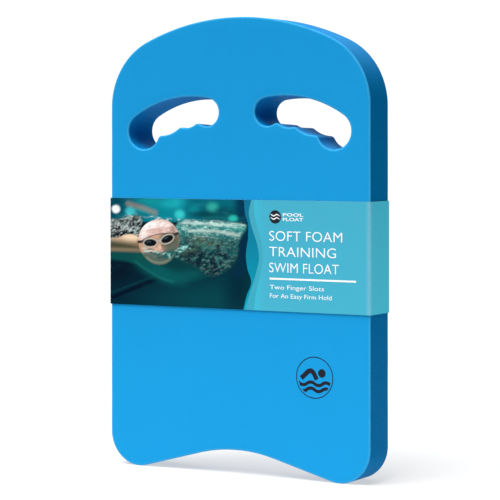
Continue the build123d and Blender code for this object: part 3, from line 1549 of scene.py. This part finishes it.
def line_distance(places: np.ndarray, line: np.ndarray) -> np.ndarray:
    """The distance from each place to a line of straight runs."""
    best = np.full(len(places), np.inf)
    for a, b in zip(line, line[1:]):
        way = b - a
        share = np.clip((places - a) @ way / (way @ way), 0.0, 1.0)
        best = np.minimum(best, np.hypot(*(places - a - share[:, None] * way).T))
    return best


@dataclass
class Canvas:
    """Places on a print, in millimetres, and the colour painted at each of them."""

    across: np.ndarray
    up: np.ndarray
    paint: np.ndarray = field(init=False)

    def __post_init__(self) -> None:
        """Starts with bare black."""
        self.paint = np.zeros((*self.across.shape, 3))

    def lay(self, colour: Colour, share: np.ndarray) -> None:
        """Lays a colour over what is there.

        Args:
            colour: the linear colour.
            share: how much of it covers each place.
        """
        cover = np.clip(share, 0.0, 1.0)[..., None]
        self.paint = self.paint * (1 - cover) + np.array(colour) * cover

    def shapes(self, shapes: Sequence[Shape], share: np.ndarray | float = 1.0) -> None:
        """Lays shapes in order.

        Args:
            shapes: the shapes, the lowest first.
            share: how strongly each place takes them.
        """
        for shape in shapes:
            self.lay(shape.colour, shape.cover(self.across, self.up) * share)

    def speckle(self, share: np.ndarray, grain: Grain) -> None:
        """Breaks an area up into dark and light flecks.

        Args:
            share: how strongly each place takes the flecks.
            grain: the flecks.
        """
        turn = math.radians(grain.turn)
        along = (self.across * math.cos(turn) + self.up * math.sin(turn)) / grain.size[0]
        over = (self.up * math.cos(turn) - self.across * math.sin(turn)) / grain.size[1]
        noise = Ripple(grain.seed).layered(along + grain.start, over + grain.start)
        noise = (noise - 0.5) * grain.contrast
        self.lay(grain.dark, share * smooth_step(-noise, *grain.dark_rise))
        self.lay(grain.light, share * smooth_step(noise, *grain.light_rise))


@dataclass
class SwimPicture:
    """The printed scene: a swimmer at the surface of a pool, in a cap and goggles.

    Places are in millimetres on the canvas, across from the middle of the front panel and up.
    Turns are in degrees.
    """

    head: Point = (-85.0, 219.5)
    head_size: Point = (22.5, 21.5)
    head_turn: float = 12.0
    head_scale: float = 1.03
    head_swell: float = 0.1
    head_points: int = 16

    def on_head(self, p: float, q: float) -> Point:
        """Where a point of the upright head lies in the picture.

        Args:
            p: its distance to the right of the head's middle, in half widths.
            q: its height over the middle, in half heights.

        Returns:
            Its place in the picture.
        """
        turn = math.radians(self.head_turn)
        x, y = p * self.head_size[0], q * self.head_size[1]
        return (
            self.head[0] + x * math.cos(turn) - y * math.sin(turn),
            self.head[1] + x * math.sin(turn) + y * math.cos(turn),
        )

    def outline(self, colour: Colour) -> Patch:
        """The head's outline: an egg, its blunt end up."""
        ring = []
        for turn in np.arange(self.head_points) * math.tau / self.head_points:
            p = math.cos(turn) * (1 + self.head_swell * math.sin(turn))
            ring.append(self.on_head(p * self.head_scale, math.sin(turn) * self.head_scale))
        return Patch(tuple(ring), colour, 0.4)

    def paint(self, canvas: Canvas) -> None:
        """Paints the whole scene, from the back to the front."""
        self.deep_water(canvas)
        self.far_pool(canvas)
        self.body(canvas)
        self.wake(canvas)
        self.splash(canvas)
        self.arm(canvas)
        self.face(canvas)
        self.cap(canvas)
        self.goggles(canvas)
        self.surface(canvas)

    def deep_water(self, canvas: Canvas) -> None:
        """The dark water below, paler to the right, with a lane line on the floor."""
        u, v = canvas.across, canvas.up
        canvas.lay(srgb(2, 34, 50), np.ones_like(u))
        canvas.lay(srgb(2, 60, 70), smooth_step(u * 0.6 - v, -245, -150))
        canvas.lay(srgb(2, 24, 40), smooth_step(v - 0.3 * u, 200, 250) * smooth_step(u, -60, -110))
        canvas.shapes(
            [
                Blob((-30, 166), (60, 14), srgb(4, 66, 74), 0.7, 0.9),
                Blob((-136, 190), (18, 9), srgb(1, 18, 34), 0.8, 0.8),
                Stroke(((-150, 159.5), (-84, 185)), 3.4, srgb(1, 12, 34), 0.9, 0.5),
                Stroke(((-150, 164.5), (-84, 189)), 1.6, srgb(6, 70, 78), 0.35, 0.7),
                Blob((2, 175), (14, 22), srgb(1, 34, 50), 0.8, 0.9),
            ]
        )
        ripples = Grain(31, (16.0, 7.0), srgb(1, 24, 38), srgb(8, 80, 86), 1.2, 12)
        canvas.speckle(np.full_like(u, 0.12), ripples)

    def far_pool(self, canvas: Canvas) -> None:
        """The pool above the surface, out of focus."""
        u, v = canvas.across, canvas.up
        above = smooth_step(v - 0.02 * u, 239.5, 242.5)
        canvas.lay(srgb(5, 100, 116), above)
        canvas.lay(srgb(8, 130, 144), above * smooth_step(np.abs(u + 78), 34, 10))
        canvas.lay(srgb(2, 74, 92), above * smooth_step(u, -112, -135))
        canvas.lay(srgb(6, 86, 94), above * smooth_step(u, -42, -30) * smooth_step(v, 258, 250))
        canvas.lay(srgb(2, 52, 78), above * smooth_step(u, -8, 4))
        blobs = (
            Blob((-70, 257.5), (11, 5), srgb(30, 184, 194), 0.6, 0.8),
            Blob((-62, 246.5), (5.2, 4.2), srgb(56, 206, 208), 0.8, 0.6),
            Blob((-97, 259), (12, 4), srgb(20, 150, 150), 0.6, 0.8),
            Blob((-46, 252), (5, 4), srgb(14, 140, 146), 0.6, 0.8),
            Blob((-26, 254), (6, 4.5), srgb(48, 172, 160), 0.8, 0.7),
            Blob((-36, 247), (12, 3), srgb(2, 62, 72), 0.8, 0.8),
            Blob((-14, 250), (9, 3.5), srgb(2, 66, 84), 0.8, 0.8),
            Blob((-4, 243.5), (4.6, 3.2), srgb(44, 190, 178), 0.85, 0.6),
            Blob((-117, 248.5), (5.5, 4.5), srgb(70, 196, 206), 0.85, 0.6),
            Blob((-105, 250.5), (8, 3), srgb(30, 150, 156), 0.6, 0.8),
            Blob((-133.6, 250.6), (4.6, 3.9), srgb(248, 252, 252), 1.0, 0.35),
            Blob((-134, 258), (9, 3), srgb(2, 62, 80), 0.8, 0.8),
            Stroke(((-120, 256), (-104, 252.5), (-89, 247.5)), 4.6, srgb(158, 134, 116), 0.55, 1.0),
        )
        canvas.shapes(blobs, above)
        canvas.speckle(0.3 * above, Grain(57, (12.0, 4.0), srgb(2, 66, 82), srgb(60, 190, 192), 1.2))

    def body(self, canvas: Canvas) -> None:
        """The swimmer's trunk under water."""
        canvas.shapes(
            [
                Patch(
                    (
                        (-146, 214), (-118, 213), (-100, 212), (-60, 208), (-30, 212), (0, 220), (2, 206),
                        (-12, 193), (-32, 187), (-52, 182), (-70, 180), (-84, 184), (-100, 192), (-114, 199),
                        (-146, 202),
                    ),
                    srgb(3, 60, 64),
                    1.4,
                ),
                Blob((-84, 190), (22, 7), srgb(6, 92, 94), 0.7, 0.8, -18),
                Blob((-56, 188), (18, 6), srgb(6, 84, 88), 0.7, 0.8, 10),
                Blob((-124, 205), (22, 4), srgb(10, 78, 76), 0.6, 0.8),
                Blob((-50, 200), (24, 6), srgb(6, 52, 60), 0.7, 0.8),
                Blob((-104, 203), (10, 5), srgb(12, 84, 74), 0.5, 0.8),
                Stroke(
                    ((-112, 200), (-98, 192), (-84, 185), (-70, 181.5)), 2.2, srgb(30, 120, 116), 0.3, 1.0
                ),
            ]
        )
        area = Blob((-70, 194), (60, 16), MASK).cover(canvas.across, canvas.up)
        canvas.speckle(area * 0.4, Grain(71, (12.0, 4.0), srgb(3, 46, 52), srgb(26, 110, 106), 1.2, -12))

    def wake(self, canvas: Canvas) -> None:
        """Broken water behind the head: bright streaks above, dark flecks below."""
        u, v = canvas.across, canvas.up
        area = Patch(
            (
                (-66, 241), (-30, 240.5), (10, 239), (11, 234), (3, 224), (1, 208), (-6, 198), (-20, 189),
                (-34, 189), (-44, 198), (-60, 203), (-70, 208), (-66, 225),
            ),
            srgb(22, 82, 84),
            2.2,
        )
        cover = area.cover(u, v)
        canvas.lay(area.colour, cover)
        canvas.lay(srgb(84, 158, 152), cover * smooth_step(v, 219, 236))
        canvas.lay(srgb(4, 40, 50), cover * smooth_step(v + 0.25 * (u + 20), 216, 202))
        canvas.lay(srgb(72, 82, 62), cover * Blob((-34, 221), (17, 4.5), MASK, 0.8, 0.8, -8).cover(u, v))
        canvas.lay(srgb(62, 88, 70), cover * Blob((-50, 213), (12, 4.5), MASK, 0.6, 0.8, 20).cover(u, v))
        bright = smooth_step(v, 219, 231)
        flecks = (
            (bright, Grain(5, (6.0, 1.5), srgb(30, 118, 118), srgb(186, 226, 220), 2.6, -5)),
            (1 - bright, Grain(17, (5.0, 2.4), srgb(2, 32, 44), srgb(58, 118, 112), 2.8, 20)),
            (0.15 + 0.5 * bright, Grain(23, (1.8, 1.0), srgb(10, 62, 66), srgb(196, 220, 210), 2.6)),
        )
        for share, grain in flecks:
            canvas.speckle(cover * share, grain)
        streaks = (
            Stroke(((-58, 238.4), (-30, 238.6), (-6, 237.5)), 2.2, srgb(214, 236, 228), 0.55, 0.9),
            Stroke(((-52, 231), (-24, 231.5), (2, 228)), 2.6, srgb(216, 230, 218), 0.5, 0.9),
            Stroke(((-14, 234.5), (8, 233)), 1.8, srgb(30, 142, 140), 0.7, 0.8),
            Stroke(((-10, 240), (9, 237.5)), 1.6, srgb(196, 230, 226), 0.5, 0.8),
        )
        canvas.shapes(streaks, cover)
        edge = Patch(
            ((12, 242), (14, 225), (12, 200), (4, 186), (-6, 190), (3, 204), (2, 222), (9, 233)),
            MASK,
            1.8,
        )
        canvas.lay(srgb(2, 42, 66), edge.cover(u, v) * 0.9)

    def splash(self, canvas: Canvas) -> None:
        """Sparkling drops thrown up in front of the face."""
        u, v = canvas.across, canvas.up
        area = Patch(
            (
                (-148, 241), (-128, 240), (-118, 245), (-104, 244), (-104, 234), (-108, 222), (-120, 225),
                (-148, 220),
            ),
            srgb(34, 52, 52),
            1.6,
        )
        cover = area.cover(u, v)
        canvas.lay(area.colour, cover)
        canvas.lay(srgb(150, 160, 152), cover * smooth_step(v - 0.35 * (u + 140), 224, 236) * 0.45)
        canvas.speckle(cover, Grain(3, (4.6, 2.6), srgb(8, 16, 20), srgb(150, 170, 168), 3.2, 24))
        canvas.speckle(cover * 0.6, Grain(9, (2.0, 1.4), srgb(12, 22, 24), srgb(238, 242, 240), 2.8, 30))
        canvas.lay(srgb(20, 110, 118), cover * 0.6 * smooth_step(v, 239, 243) * smooth_step(u, -118, -132))

    def arm(self, canvas: Canvas) -> None:
        """The shoulder and arm, half out of the water."""
        u, v = canvas.across, canvas.up
        arm = Patch(
            (
                (-148, 221.5), (-133, 222), (-122, 226), (-113, 226.5), (-107, 223), (-103, 217), (-98, 208),
                (-104, 203), (-148, 202),
            ),
            srgb(214, 178, 142),
            0.9,
        )
        cover = arm.cover(u, v) * smooth_step(v, 207.5, 214.5)
        canvas.lay(arm.colour, cover)
        canvas.lay(srgb(246, 218, 186), cover * Blob((-118, 222.5), (9, 3.5), MASK, 0.9, 0.8).cover(u, v))
        canvas.lay(srgb(238, 206, 172), cover * Blob((-137, 219.5), (8, 3), MASK, 0.8, 0.8).cover(u, v))
        canvas.lay(srgb(70, 72, 54), cover * smooth_step(v + 0.12 * (u + 120), 225, 214))
        canvas.lay(srgb(120, 92, 66), cover * Blob((-104, 217), (5, 6), MASK, 0.6, 0.8, -40).cover(u, v))

    def face(self, canvas: Canvas) -> None:
        """The face: plain and calm, its eyes at half height, its lower part in the water."""
        u, v = canvas.across, canvas.up
        tilt = self.head_turn
        wide, tall = self.head_size
        head = self.outline(srgb(226, 178, 150))
        cover = head.cover(u, v)
        canvas.lay(head.colour, cover)
        side = Blob(self.on_head(0.62, -0.2), (0.6 * wide, 0.95 * tall), MASK, 1.0, 0.7, tilt)
        canvas.lay(srgb(92, 100, 88), cover * side.cover(u, v))
        middle = Blob(self.head, (0.86 * wide, 0.9 * tall), MASK, 1.0, 0.3, tilt)
        canvas.lay(srgb(96, 84, 66), cover * (1 - middle.cover(u, v)) * 0.5)
        parts = [
            Blob(self.on_head(-0.45, -0.3), (5.5, 4.0), srgb(240, 192, 172), 0.6, 0.8, tilt),
            Blob(self.on_head(0.0, -0.16), (1.9, 6.0), srgb(238, 196, 172), 0.8, 0.7, tilt),
            Blob(self.on_head(0.15, -0.22), (1.5, 5.4), srgb(140, 104, 86), 0.6, 0.8, tilt),
            Blob(self.on_head(0.0, -0.44), (3.3, 2.1), srgb(236, 182, 166), 0.9, 0.5, tilt),
            Blob(self.on_head(-0.08, -0.52), (1.1, 0.6), srgb(96, 56, 48), 0.9, 0.5, tilt),
            Blob(self.on_head(0.09, -0.52), (1.1, 0.6), srgb(96, 56, 48), 0.9, 0.5, tilt),
            Blob(self.on_head(0.0, -0.66), (5.4, 1.1), srgb(180, 112, 98), 0.9, 0.5, tilt),
            Blob(self.on_head(0.0, -0.745), (4.6, 1.1), srgb(196, 128, 112), 0.8, 0.6, tilt),
            Stroke((self.on_head(-0.25, -0.69), self.on_head(0.25, -0.69)), 0.7, srgb(92, 48, 44), 0.9, 0.6),
            Blob(self.on_head(0.0, -0.9), (4.6, 1.8), srgb(220, 176, 150), 0.6, 0.8, tilt),
        ]
        canvas.shapes(parts, cover)
        water = smooth_step(v - 0.1 * (u + 85), 213.0, 208.0)
        canvas.lay(srgb(14, 84, 80), cover * water * 0.88)
        turns = np.radians(range(215, 326, 10))
        jaw = tuple(self.on_head(0.9 * math.cos(turn), 0.93 * math.sin(turn)) for turn in turns)
        canvas.shapes([Stroke(jaw, 1.8, srgb(160, 158, 134), 0.4, 1.0)], cover)

    def cap(self, canvas: Canvas) -> None:
        """The pale cap with wet highlights."""
        u, v = canvas.across, canvas.up
        head = self.outline(MASK).cover(u, v)
        brow_line = (
            (-1.2, 0.16), (-0.6, 0.3), (0.0, 0.36), (0.6, 0.3), (1.2, 0.16), (1.2, 1.3), (-1.2, 1.3),
        )
        brow = Patch(
            tuple(self.on_head(p, q) for p, q in brow_line),
            srgb(226, 192, 182),
            0.5,
        )
        cover = head * brow.cover(u, v)
        canvas.lay(brow.colour, cover)
        parts = [
            Blob(self.on_head(-0.3, 0.82), (10, 3.4), srgb(252, 250, 248), 0.95, 0.5, self.head_turn),
            Blob(self.on_head(0.35, 0.72), (8, 2.6), srgb(244, 232, 226), 0.8, 0.6, self.head_turn - 16),
            Blob(self.on_head(-0.68, 0.5), (3.6, 4.2), srgb(246, 240, 234), 0.85, 0.6, self.head_turn),
            Blob(self.on_head(0.1, 0.52), (9, 2.2), srgb(206, 160, 150), 0.6, 0.8, self.head_turn),
            Blob(self.on_head(0.78, 0.38), (3.2, 5.2), srgb(118, 92, 84), 0.7, 0.8, self.head_turn),
        ]
        canvas.shapes(parts, cover)
        canvas.speckle(cover * 0.35, Grain(41, (2.6, 1.1), srgb(176, 140, 130), srgb(255, 252, 250), 3.0, 14))
        seam = [self.on_head(p, 0.36 - 0.2 * p * p) for p in (-1.0, -0.6, -0.2, 0.2, 0.6, 1.0)]
        canvas.lay(srgb(84, 62, 54), head * Stroke(tuple(seam), 1.1, MASK, 0.8, 0.6).cover(u, v))

    def goggles(self, canvas: Canvas) -> None:
        """The goggles: dark lenses in pale frames, a bridge and a strap."""
        tilt = self.head_turn
        shapes: list[Shape] = []
        for half in ((-1.0, -0.7, -0.4), (0.4, 0.7, 0.98)):
            strap = tuple(self.on_head(p, 0.05 + 0.16 * abs(p)) for p in half)
            shapes.append(Stroke(strap, 2.6, srgb(34, 32, 34), 0.95, 0.4))
        bridge = (self.on_head(-0.14, 0.06), self.on_head(0.14, 0.06))
        shapes.append(Stroke(bridge, 1.5, srgb(210, 206, 198), 0.95, 0.4))
        for side in (-1, 1):
            place = self.on_head(0.43 * side, 0.05)
            lean = tilt + 9 * side
            shapes += [
                Blob(place, (9.2, 5.6), srgb(70, 54, 48), 0.6, 0.5, lean),
                Blob(place, (8.1, 4.5), srgb(206, 200, 184), 1.0, 0.12, lean),
                Blob(place, (7.2, 3.6), srgb(14, 16, 22), 1.0, 0.14, lean),
                Blob((place[0] - 1.8, place[1] + 1.0), (2.6, 0.9), srgb(60, 78, 90), 0.7, 0.8, lean),
            ]
        canvas.shapes(shapes)

    def surface(self, canvas: Canvas) -> None:
        """The water's edge: foam over the lower face and a bright rim along the top."""
        u, v = canvas.across, canvas.up
        foam = Stroke(
            ((-100, 211.5), (-92, 209.5), (-83, 209), (-74, 206.5), (-66, 209.5), (-59, 214), (-52, 216)),
            5.6,
            MASK,
            1.0,
            0.8,
        ).cover(u, v)
        canvas.speckle(foam, Grain(63, (4.0, 1.5), srgb(12, 92, 92), srgb(150, 214, 208), 3.4, 8))
        rim = Stroke(
            (
                (-128, 241), (-118, 244.5), (-104, 245), (-92, 243.5),
                (-80, 241.5), (-62, 240.5), (-30, 240.5), (6, 238.5),
            ),
            2.6,
            MASK,
            1.0,
            0.8,
        ).cover(u, v)
        canvas.speckle(rim * 0.85, Grain(83, (4.0, 1.4), srgb(36, 122, 124), srgb(220, 238, 234), 2.8, -4))

    def side_panel(self, canvas: Canvas) -> None:
        """Beyond the fold the scene runs out into plain water."""
        past = smooth_step(canvas.across, -141, -166)
        canvas.lay(srgb(3, 52, 66), past)
        canvas.lay(srgb(8, 104, 116), past * smooth_step(canvas.up, 226, 256))


@dataclass
class Picture:
    """The printed picture's film: from its wavy right edge over the left fold to the back fold.

    The scene's own millimetres are set on the card by aside, squeeze and foot_mark. Left of the
    fixed line the film's columns are upright, and right of it they follow the wavy edge.
    """

    film: Film
    edge: Sequence[Point]
    scene: SwimPicture = field(default_factory=SwimPicture)
    step: float = 0.00065
    side_step: float = 0.0013
    fold_step: float = 0.00016
    fold_reach: float = 0.0016
    fixed: float = 0.13
    aside: float = 1.3
    squeeze: float = 0.98
    foot_mark: float = 158.0

    def build(self, finish: bpy.types.Material) -> bpy.types.Object:
        """Lays the picture on the card and paints it."""
        wrap = self.film.wrap
        fold, reach = wrap.fold, self.fold_reach
        held = np.concatenate(
            [
                np.arange(-wrap.far_fold + reach, -fold - reach, self.side_step),
                np.arange(-fold - reach, -fold + reach, self.fold_step),
                np.arange(-fold + reach, -self.fixed, self.step),
            ]
        )
        height = np.arange(wrap.foot, wrap.head, self.step)
        height = np.append(height[:-1], wrap.head)
        edge = curve_through(self.edge, height - wrap.foot)[:, None]
        share = np.linspace(0.0, 1.0, round((self.fixed + edge.mean()) / self.step))[None, :]
        free = -self.fixed + (edge + self.fixed) * share
        along = np.concatenate([np.repeat(held[None, :], len(height), axis=0), free], axis=1)
        tall = np.repeat(height[:, None], along.shape[1], axis=1)
        picture = self.film.lay("swim_picture", along, tall)
        mirrored = np.where(along < -fold, -2 * fold - along, along)
        up = (tall - wrap.foot) * METRE + self.foot_mark
        canvas = Canvas((mirrored * METRE - self.aside) * self.squeeze, up)
        self.scene.paint(canvas)
        canvas.across = (along * METRE - self.aside) * self.squeeze
        self.scene.side_panel(canvas)
        set_colours(picture, "paint", np.tile(canvas.paint.reshape(-1, 3), (2, 1)))
        picture.data.materials.append(finish)
        return picture


# ---------------------------------------------------------------- words and emblem


CAPITAL_HEIGHT = 0.73  # of a capital in the built-in font at size 1


@dataclass(frozen=True)
class PrintedLine:
    """One line of words: its left end and foot on the front panel, its letters' height and its length."""

    name: str
    words: str
    left: float
    foot: float
    cap: float
    length: float
    weight: float = 0.0


@dataclass
class Wording:
    """The white words, the rule under the title, and the round emblem."""

    film: Film
    white: PrintInk = field(default_factory=lambda: PrintInk("white_ink", srgb(244, 249, 250)))
    black: PrintInk = field(default_factory=lambda: PrintInk("emblem_ink", srgb(12, 16, 30)))
    lines: tuple[PrintedLine, ...] = (
        PrintedLine("title_top", "SOFT FOAM", 0.0364, 0.2215, 0.0098, 0.0765, -0.008),
        PrintedLine("title_middle", "TRAINING", 0.0364, 0.2069, 0.0096, 0.0701, -0.008),
        PrintedLine("title_foot", "SWIM FLOAT", 0.0364, 0.192, 0.0096, 0.073, -0.008),
        PrintedLine("note_top", "Two Finger Slots", 0.037, 0.1762, 0.0043, 0.0571),
        PrintedLine("note_foot", "For An Easy Firm Hold", 0.037, 0.1682, 0.0043, 0.065),
        PrintedLine("tag_top", "POOL", 0.0508, 0.2446, 0.003, 0.0216, 0.02),
        PrintedLine("tag_foot", "FLOAT", 0.0508, 0.2403, 0.003, 0.0216, 0.02),
    )
    rule: tuple[float, float, float, float] = (0.0368, 0.1272, 0.1852, 0.1869)
    emblem: Triple = (0.0427, 0.2438, 0.0062)
    emblem_waves: tuple[float, ...] = (0.0016, -0.0014)
    wave_reach: float = 0.86
    wave_height: float = 0.0007
    wave_turns: float = 0.9
    wave_line: float = 0.0006
    wave_tip: float = 0.05
    sides: int = 64
    letter_spacing: float = 1.02
    letter_steps: int = 6

    def letters(self, line: PrintedLine) -> bpy.types.Object:
        """Cuts one line of words as thin solid letters on the front panel.

        Args:
            line: the words and where they go.

        Returns:
            The letters, riding on the sleeve.
        """
        curve = bpy.data.curves.new(line.name, "FONT")
        curve.body = line.words
        curve.resolution_u = self.letter_steps
        curve.offset = line.weight
        curve.space_character = self.letter_spacing
        draft = bpy.data.objects.new(line.name + "_draft", curve)
        mesh = bpy.data.meshes.new_from_object(draft)
        flat = np.array([v.co[:2] for v in mesh.vertices])
        polygons = [tuple(p.vertices) for p in mesh.polygons]
        bpy.data.objects.remove(draft)
        bpy.data.curves.remove(curve)
        bpy.data.meshes.remove(mesh)

        left, right = flat[:, 0].min(), flat[:, 0].max()
        x = line.left + (flat[:, 0] - left) / (right - left) * line.length
        z = line.foot + flat[:, 1] / CAPITAL_HEIGHT * line.cap
        return self.cut_out(line.name, np.stack([x, z], axis=1), polygons, self.white, 1)

    def cut_out(
        self, name: str, flat: np.ndarray, polygons: list, ink: PrintInk, layer: int
    ) -> bpy.types.Object:
        """A thin closed solid over a flat shape on the front panel.

        Args:
            name: the piece's name.
            flat: X and Z of each corner.
            polygons: the shape's faces, seen from the front.
            ink: its finish.
            layer: how many films lie under it.

        Returns:
            The piece, riding on the sleeve.
        """
        film = self.film
        outer = film.wrap.face + film.base(layer)
        count = len(flat)
        verts = [(x, -outer - film.thickness, z) for x, z in flat] + [(x, -outer, z) for x, z in flat]
        area = [polygon_area(flat[list(p)]) for p in polygons]
        front = [p if a > 0 else p[::-1] for p, a in zip(polygons, area)]
        ways: dict[tuple[int, int], int] = {}
        for p in front:
            for a, b in zip(p, p[1:] + p[:1]):
                ways[(a, b)] = ways.get((a, b), 0) + 1
        rim = [(a, a + count, b + count, b) for a, b in ways if (b, a) not in ways]
        back = [tuple(i + count for i in reversed(p)) for p in front]
        piece = new_piece(name, np.array(verts), [*front, *back, *rim])
        piece.data.shade_flat()
        piece.data.materials.append(ink.material())
        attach(piece, Body.SLEEVE.value)
        return piece

    def build(self) -> list[bpy.types.Object]:
        """Builds every word, the rule and the emblem."""
        pieces = [self.letters(line) for line in self.lines]
        x0, x1, z0, z1 = self.rule
        corners = np.array([(x0, z0), (x1, z0), (x1, z1), (x0, z1)])
        pieces.append(self.cut_out("title_rule", corners, [(0, 1, 2, 3)], self.white, 1))
        x, z, radius = self.emblem
        turn = np.arange(self.sides) * math.tau / self.sides
        ring = np.stack([x + radius * np.cos(turn), z + radius * np.sin(turn)], axis=1)
        pieces.append(self.cut_out("emblem_disc", ring, [tuple(range(self.sides))], self.black, 1))
        pieces += [self.emblem_wave(k + 1, rise) for k, rise in enumerate(self.emblem_waves)]
        return pieces

    def emblem_wave(self, number: int, rise: float) -> bpy.types.Object:
        """Cuts one of the emblem's waves, which thins out at both its ends.

        Args:
            number: the wave's number in its name.
            rise: its height over the emblem's middle.

        Returns:
            The wave, riding on the sleeve.
        """
        x, z, radius = self.emblem
        reach = math.sqrt(radius**2 - rise**2) * self.wave_reach
        run = np.linspace(-reach, reach, self.sides)
        middle = z + rise + self.wave_height * np.sin(run / radius * math.tau * self.wave_turns)
        half = self.wave_line * np.sqrt(np.clip(1 - (run / reach) ** 2, self.wave_tip, 1))
        edges = [np.stack([x + run, edge], axis=1) for edge in (middle - half, middle + half)]
        n = self.sides
        quads = [(i, i + 1, i + 1 + n, i + n) for i in range(n - 1)]
        return self.cut_out(f"emblem_wave_{number}", np.concatenate(edges), quads, self.white, 2)


def polygon_area(corners: np.ndarray) -> float:
    """The signed area of a flat polygon, positive if anticlockwise."""
    x, z = corners[:, 0], corners[:, 1]
    return float(np.sum(x * np.roll(z, -1) - np.roll(x, -1) * z) / 2)


# ---------------------------------------------------------------- the studio


@dataclass
class Studio:
    """A pale floor, a wide soft lamp from above and the front, a weaker one behind, and the camera."""

    floor_radius: float = 1.0
    floor_sides: int = 96
    lamp_strength: float = 5.75
    lamp_elevation: float = math.radians(66)
    lamp_heading: float = math.radians(-30)
    lamp_spread: float = math.radians(50)
    back_strength: float = 1.3
    back_heading: float = math.radians(187)
    back_elevation: float = math.radians(42)
    lamp_distance: float = 2.0
    ambient: float = 0.1
    backdrop: float = 1.05
    camera_heading: float = math.radians(29.783)
    camera_distance: float = 1.98518
    camera_height: float = 0.31395
    camera_lens: float = 150.1
    camera_sensor: float = 36.0
    camera_reach: float = 50.0
    camera_shift: Point = (0.00776, -0.2164)

    def build(self) -> None:
        """Builds the floor, the light and the camera."""
        turn = np.arange(self.floor_sides) * math.tau / self.floor_sides
        rim = np.stack([np.cos(turn), np.sin(turn), np.zeros(self.floor_sides)], axis=1) * self.floor_radius
        floor = new_piece("floor", rim, [tuple(range(self.floor_sides))])
        floor.data.materials.append(FloorFinish().material())
        self.add_sun("key_lamp", self.lamp_strength, self.lamp_heading, self.lamp_elevation)
        self.add_sun("back_lamp", self.back_strength, self.back_heading, self.back_elevation)
        self.add_world()
        self.add_camera()

    def add_sun(self, name: str, strength: float, heading: float, elevation: float) -> None:
        """Adds a wide soft lamp far away.

        Args:
            name: the lamp's name.
            strength: its irradiance.
            heading: where it stands, from straight in front towards the right.
            elevation: its height above the horizon.
        """
        lamp = bpy.data.lights.new(name, "SUN")
        lamp.energy = strength
        lamp.angle = self.lamp_spread
        lamp_object = bpy.data.objects.new(name, lamp)
        bpy.context.scene.collection.objects.link(lamp_object)
        flat = math.cos(elevation)
        away = Vector((math.sin(heading) * flat, -math.cos(heading) * flat, math.sin(elevation)))
        lamp_object.location = away * self.lamp_distance
        lamp_object.rotation_euler = away.to_track_quat("Z", "Y").to_euler()

    def add_world(self) -> None:
        """A white surround that lights the object only faintly."""
        world = bpy.data.worlds.new("studio")
        world.use_nodes = True
        bench = Bench(world.node_tree)
        backdrop = world.node_tree.nodes["Background"]
        seen = bench.add("LightPath").outputs["Is Camera Ray"]
        strength = bench.add("MapRange")
        bench.feed(strength, {0: seen, 1: 0.0, 2: 1.0, 3: self.ambient, 4: self.backdrop})
        bench.feed(backdrop, {"Color": (1.0, 1.0, 1.0, 1.0), "Strength": strength.outputs[0]})
        bpy.context.scene.world = world

    def add_camera(self) -> None:
        """A level camera to the right of the board's front, its view shifted down to the board."""
        camera = bpy.data.cameras.new("camera")
        camera.lens = self.camera_lens
        camera.sensor_width = self.camera_sensor
        camera.clip_end = self.camera_reach
        camera.shift_x, camera.shift_y = self.camera_shift
        eye = bpy.data.objects.new("camera", camera)
        bpy.context.scene.collection.objects.link(eye)
        away = Vector((math.sin(self.camera_heading), -math.cos(self.camera_heading), 0.0))
        eye.location = away * self.camera_distance + Vector((0.0, 0.0, self.camera_height))
        eye.rotation_euler = away.to_track_quat("Z", "Y").to_euler()
        bpy.context.scene.camera = eye
        bpy.context.scene.view_settings.view_transform = "Standard"


def main() -> None:
    """Builds every piece in order and reports each one."""
    logging.basicConfig(level=logging.INFO, format="%(name)s: %(message)s")
    Studio().build()
    board = FoamBoard()
    pieces = [board.build(), board.dress_mark()]
    wrap = CardWrap()
    film = Film(wrap)
    waves = WaveArt()
    pieces.append(CardSleeve(wrap).build())
    pieces.append(Picture(film, waves.picture_edge).build(CardStock("picture_print").material()))
    pieces += waves.build(film, CardStock("wave_print").material())
    pieces += Wording(film).build()
    lap_glue = PrintInk("lap_glue", srgb(214, 206, 178), 0.002, relief=(0.00005, 0.5), roughness=(0.3, 0.5))
    pieces.append(dress_node("sleeve_glue", lap_glue))
    for piece in pieces:
        LOG.info("%s: %d faces", piece.name, len(piece.data.polygons))


if __name__ == "__main__":
    main()
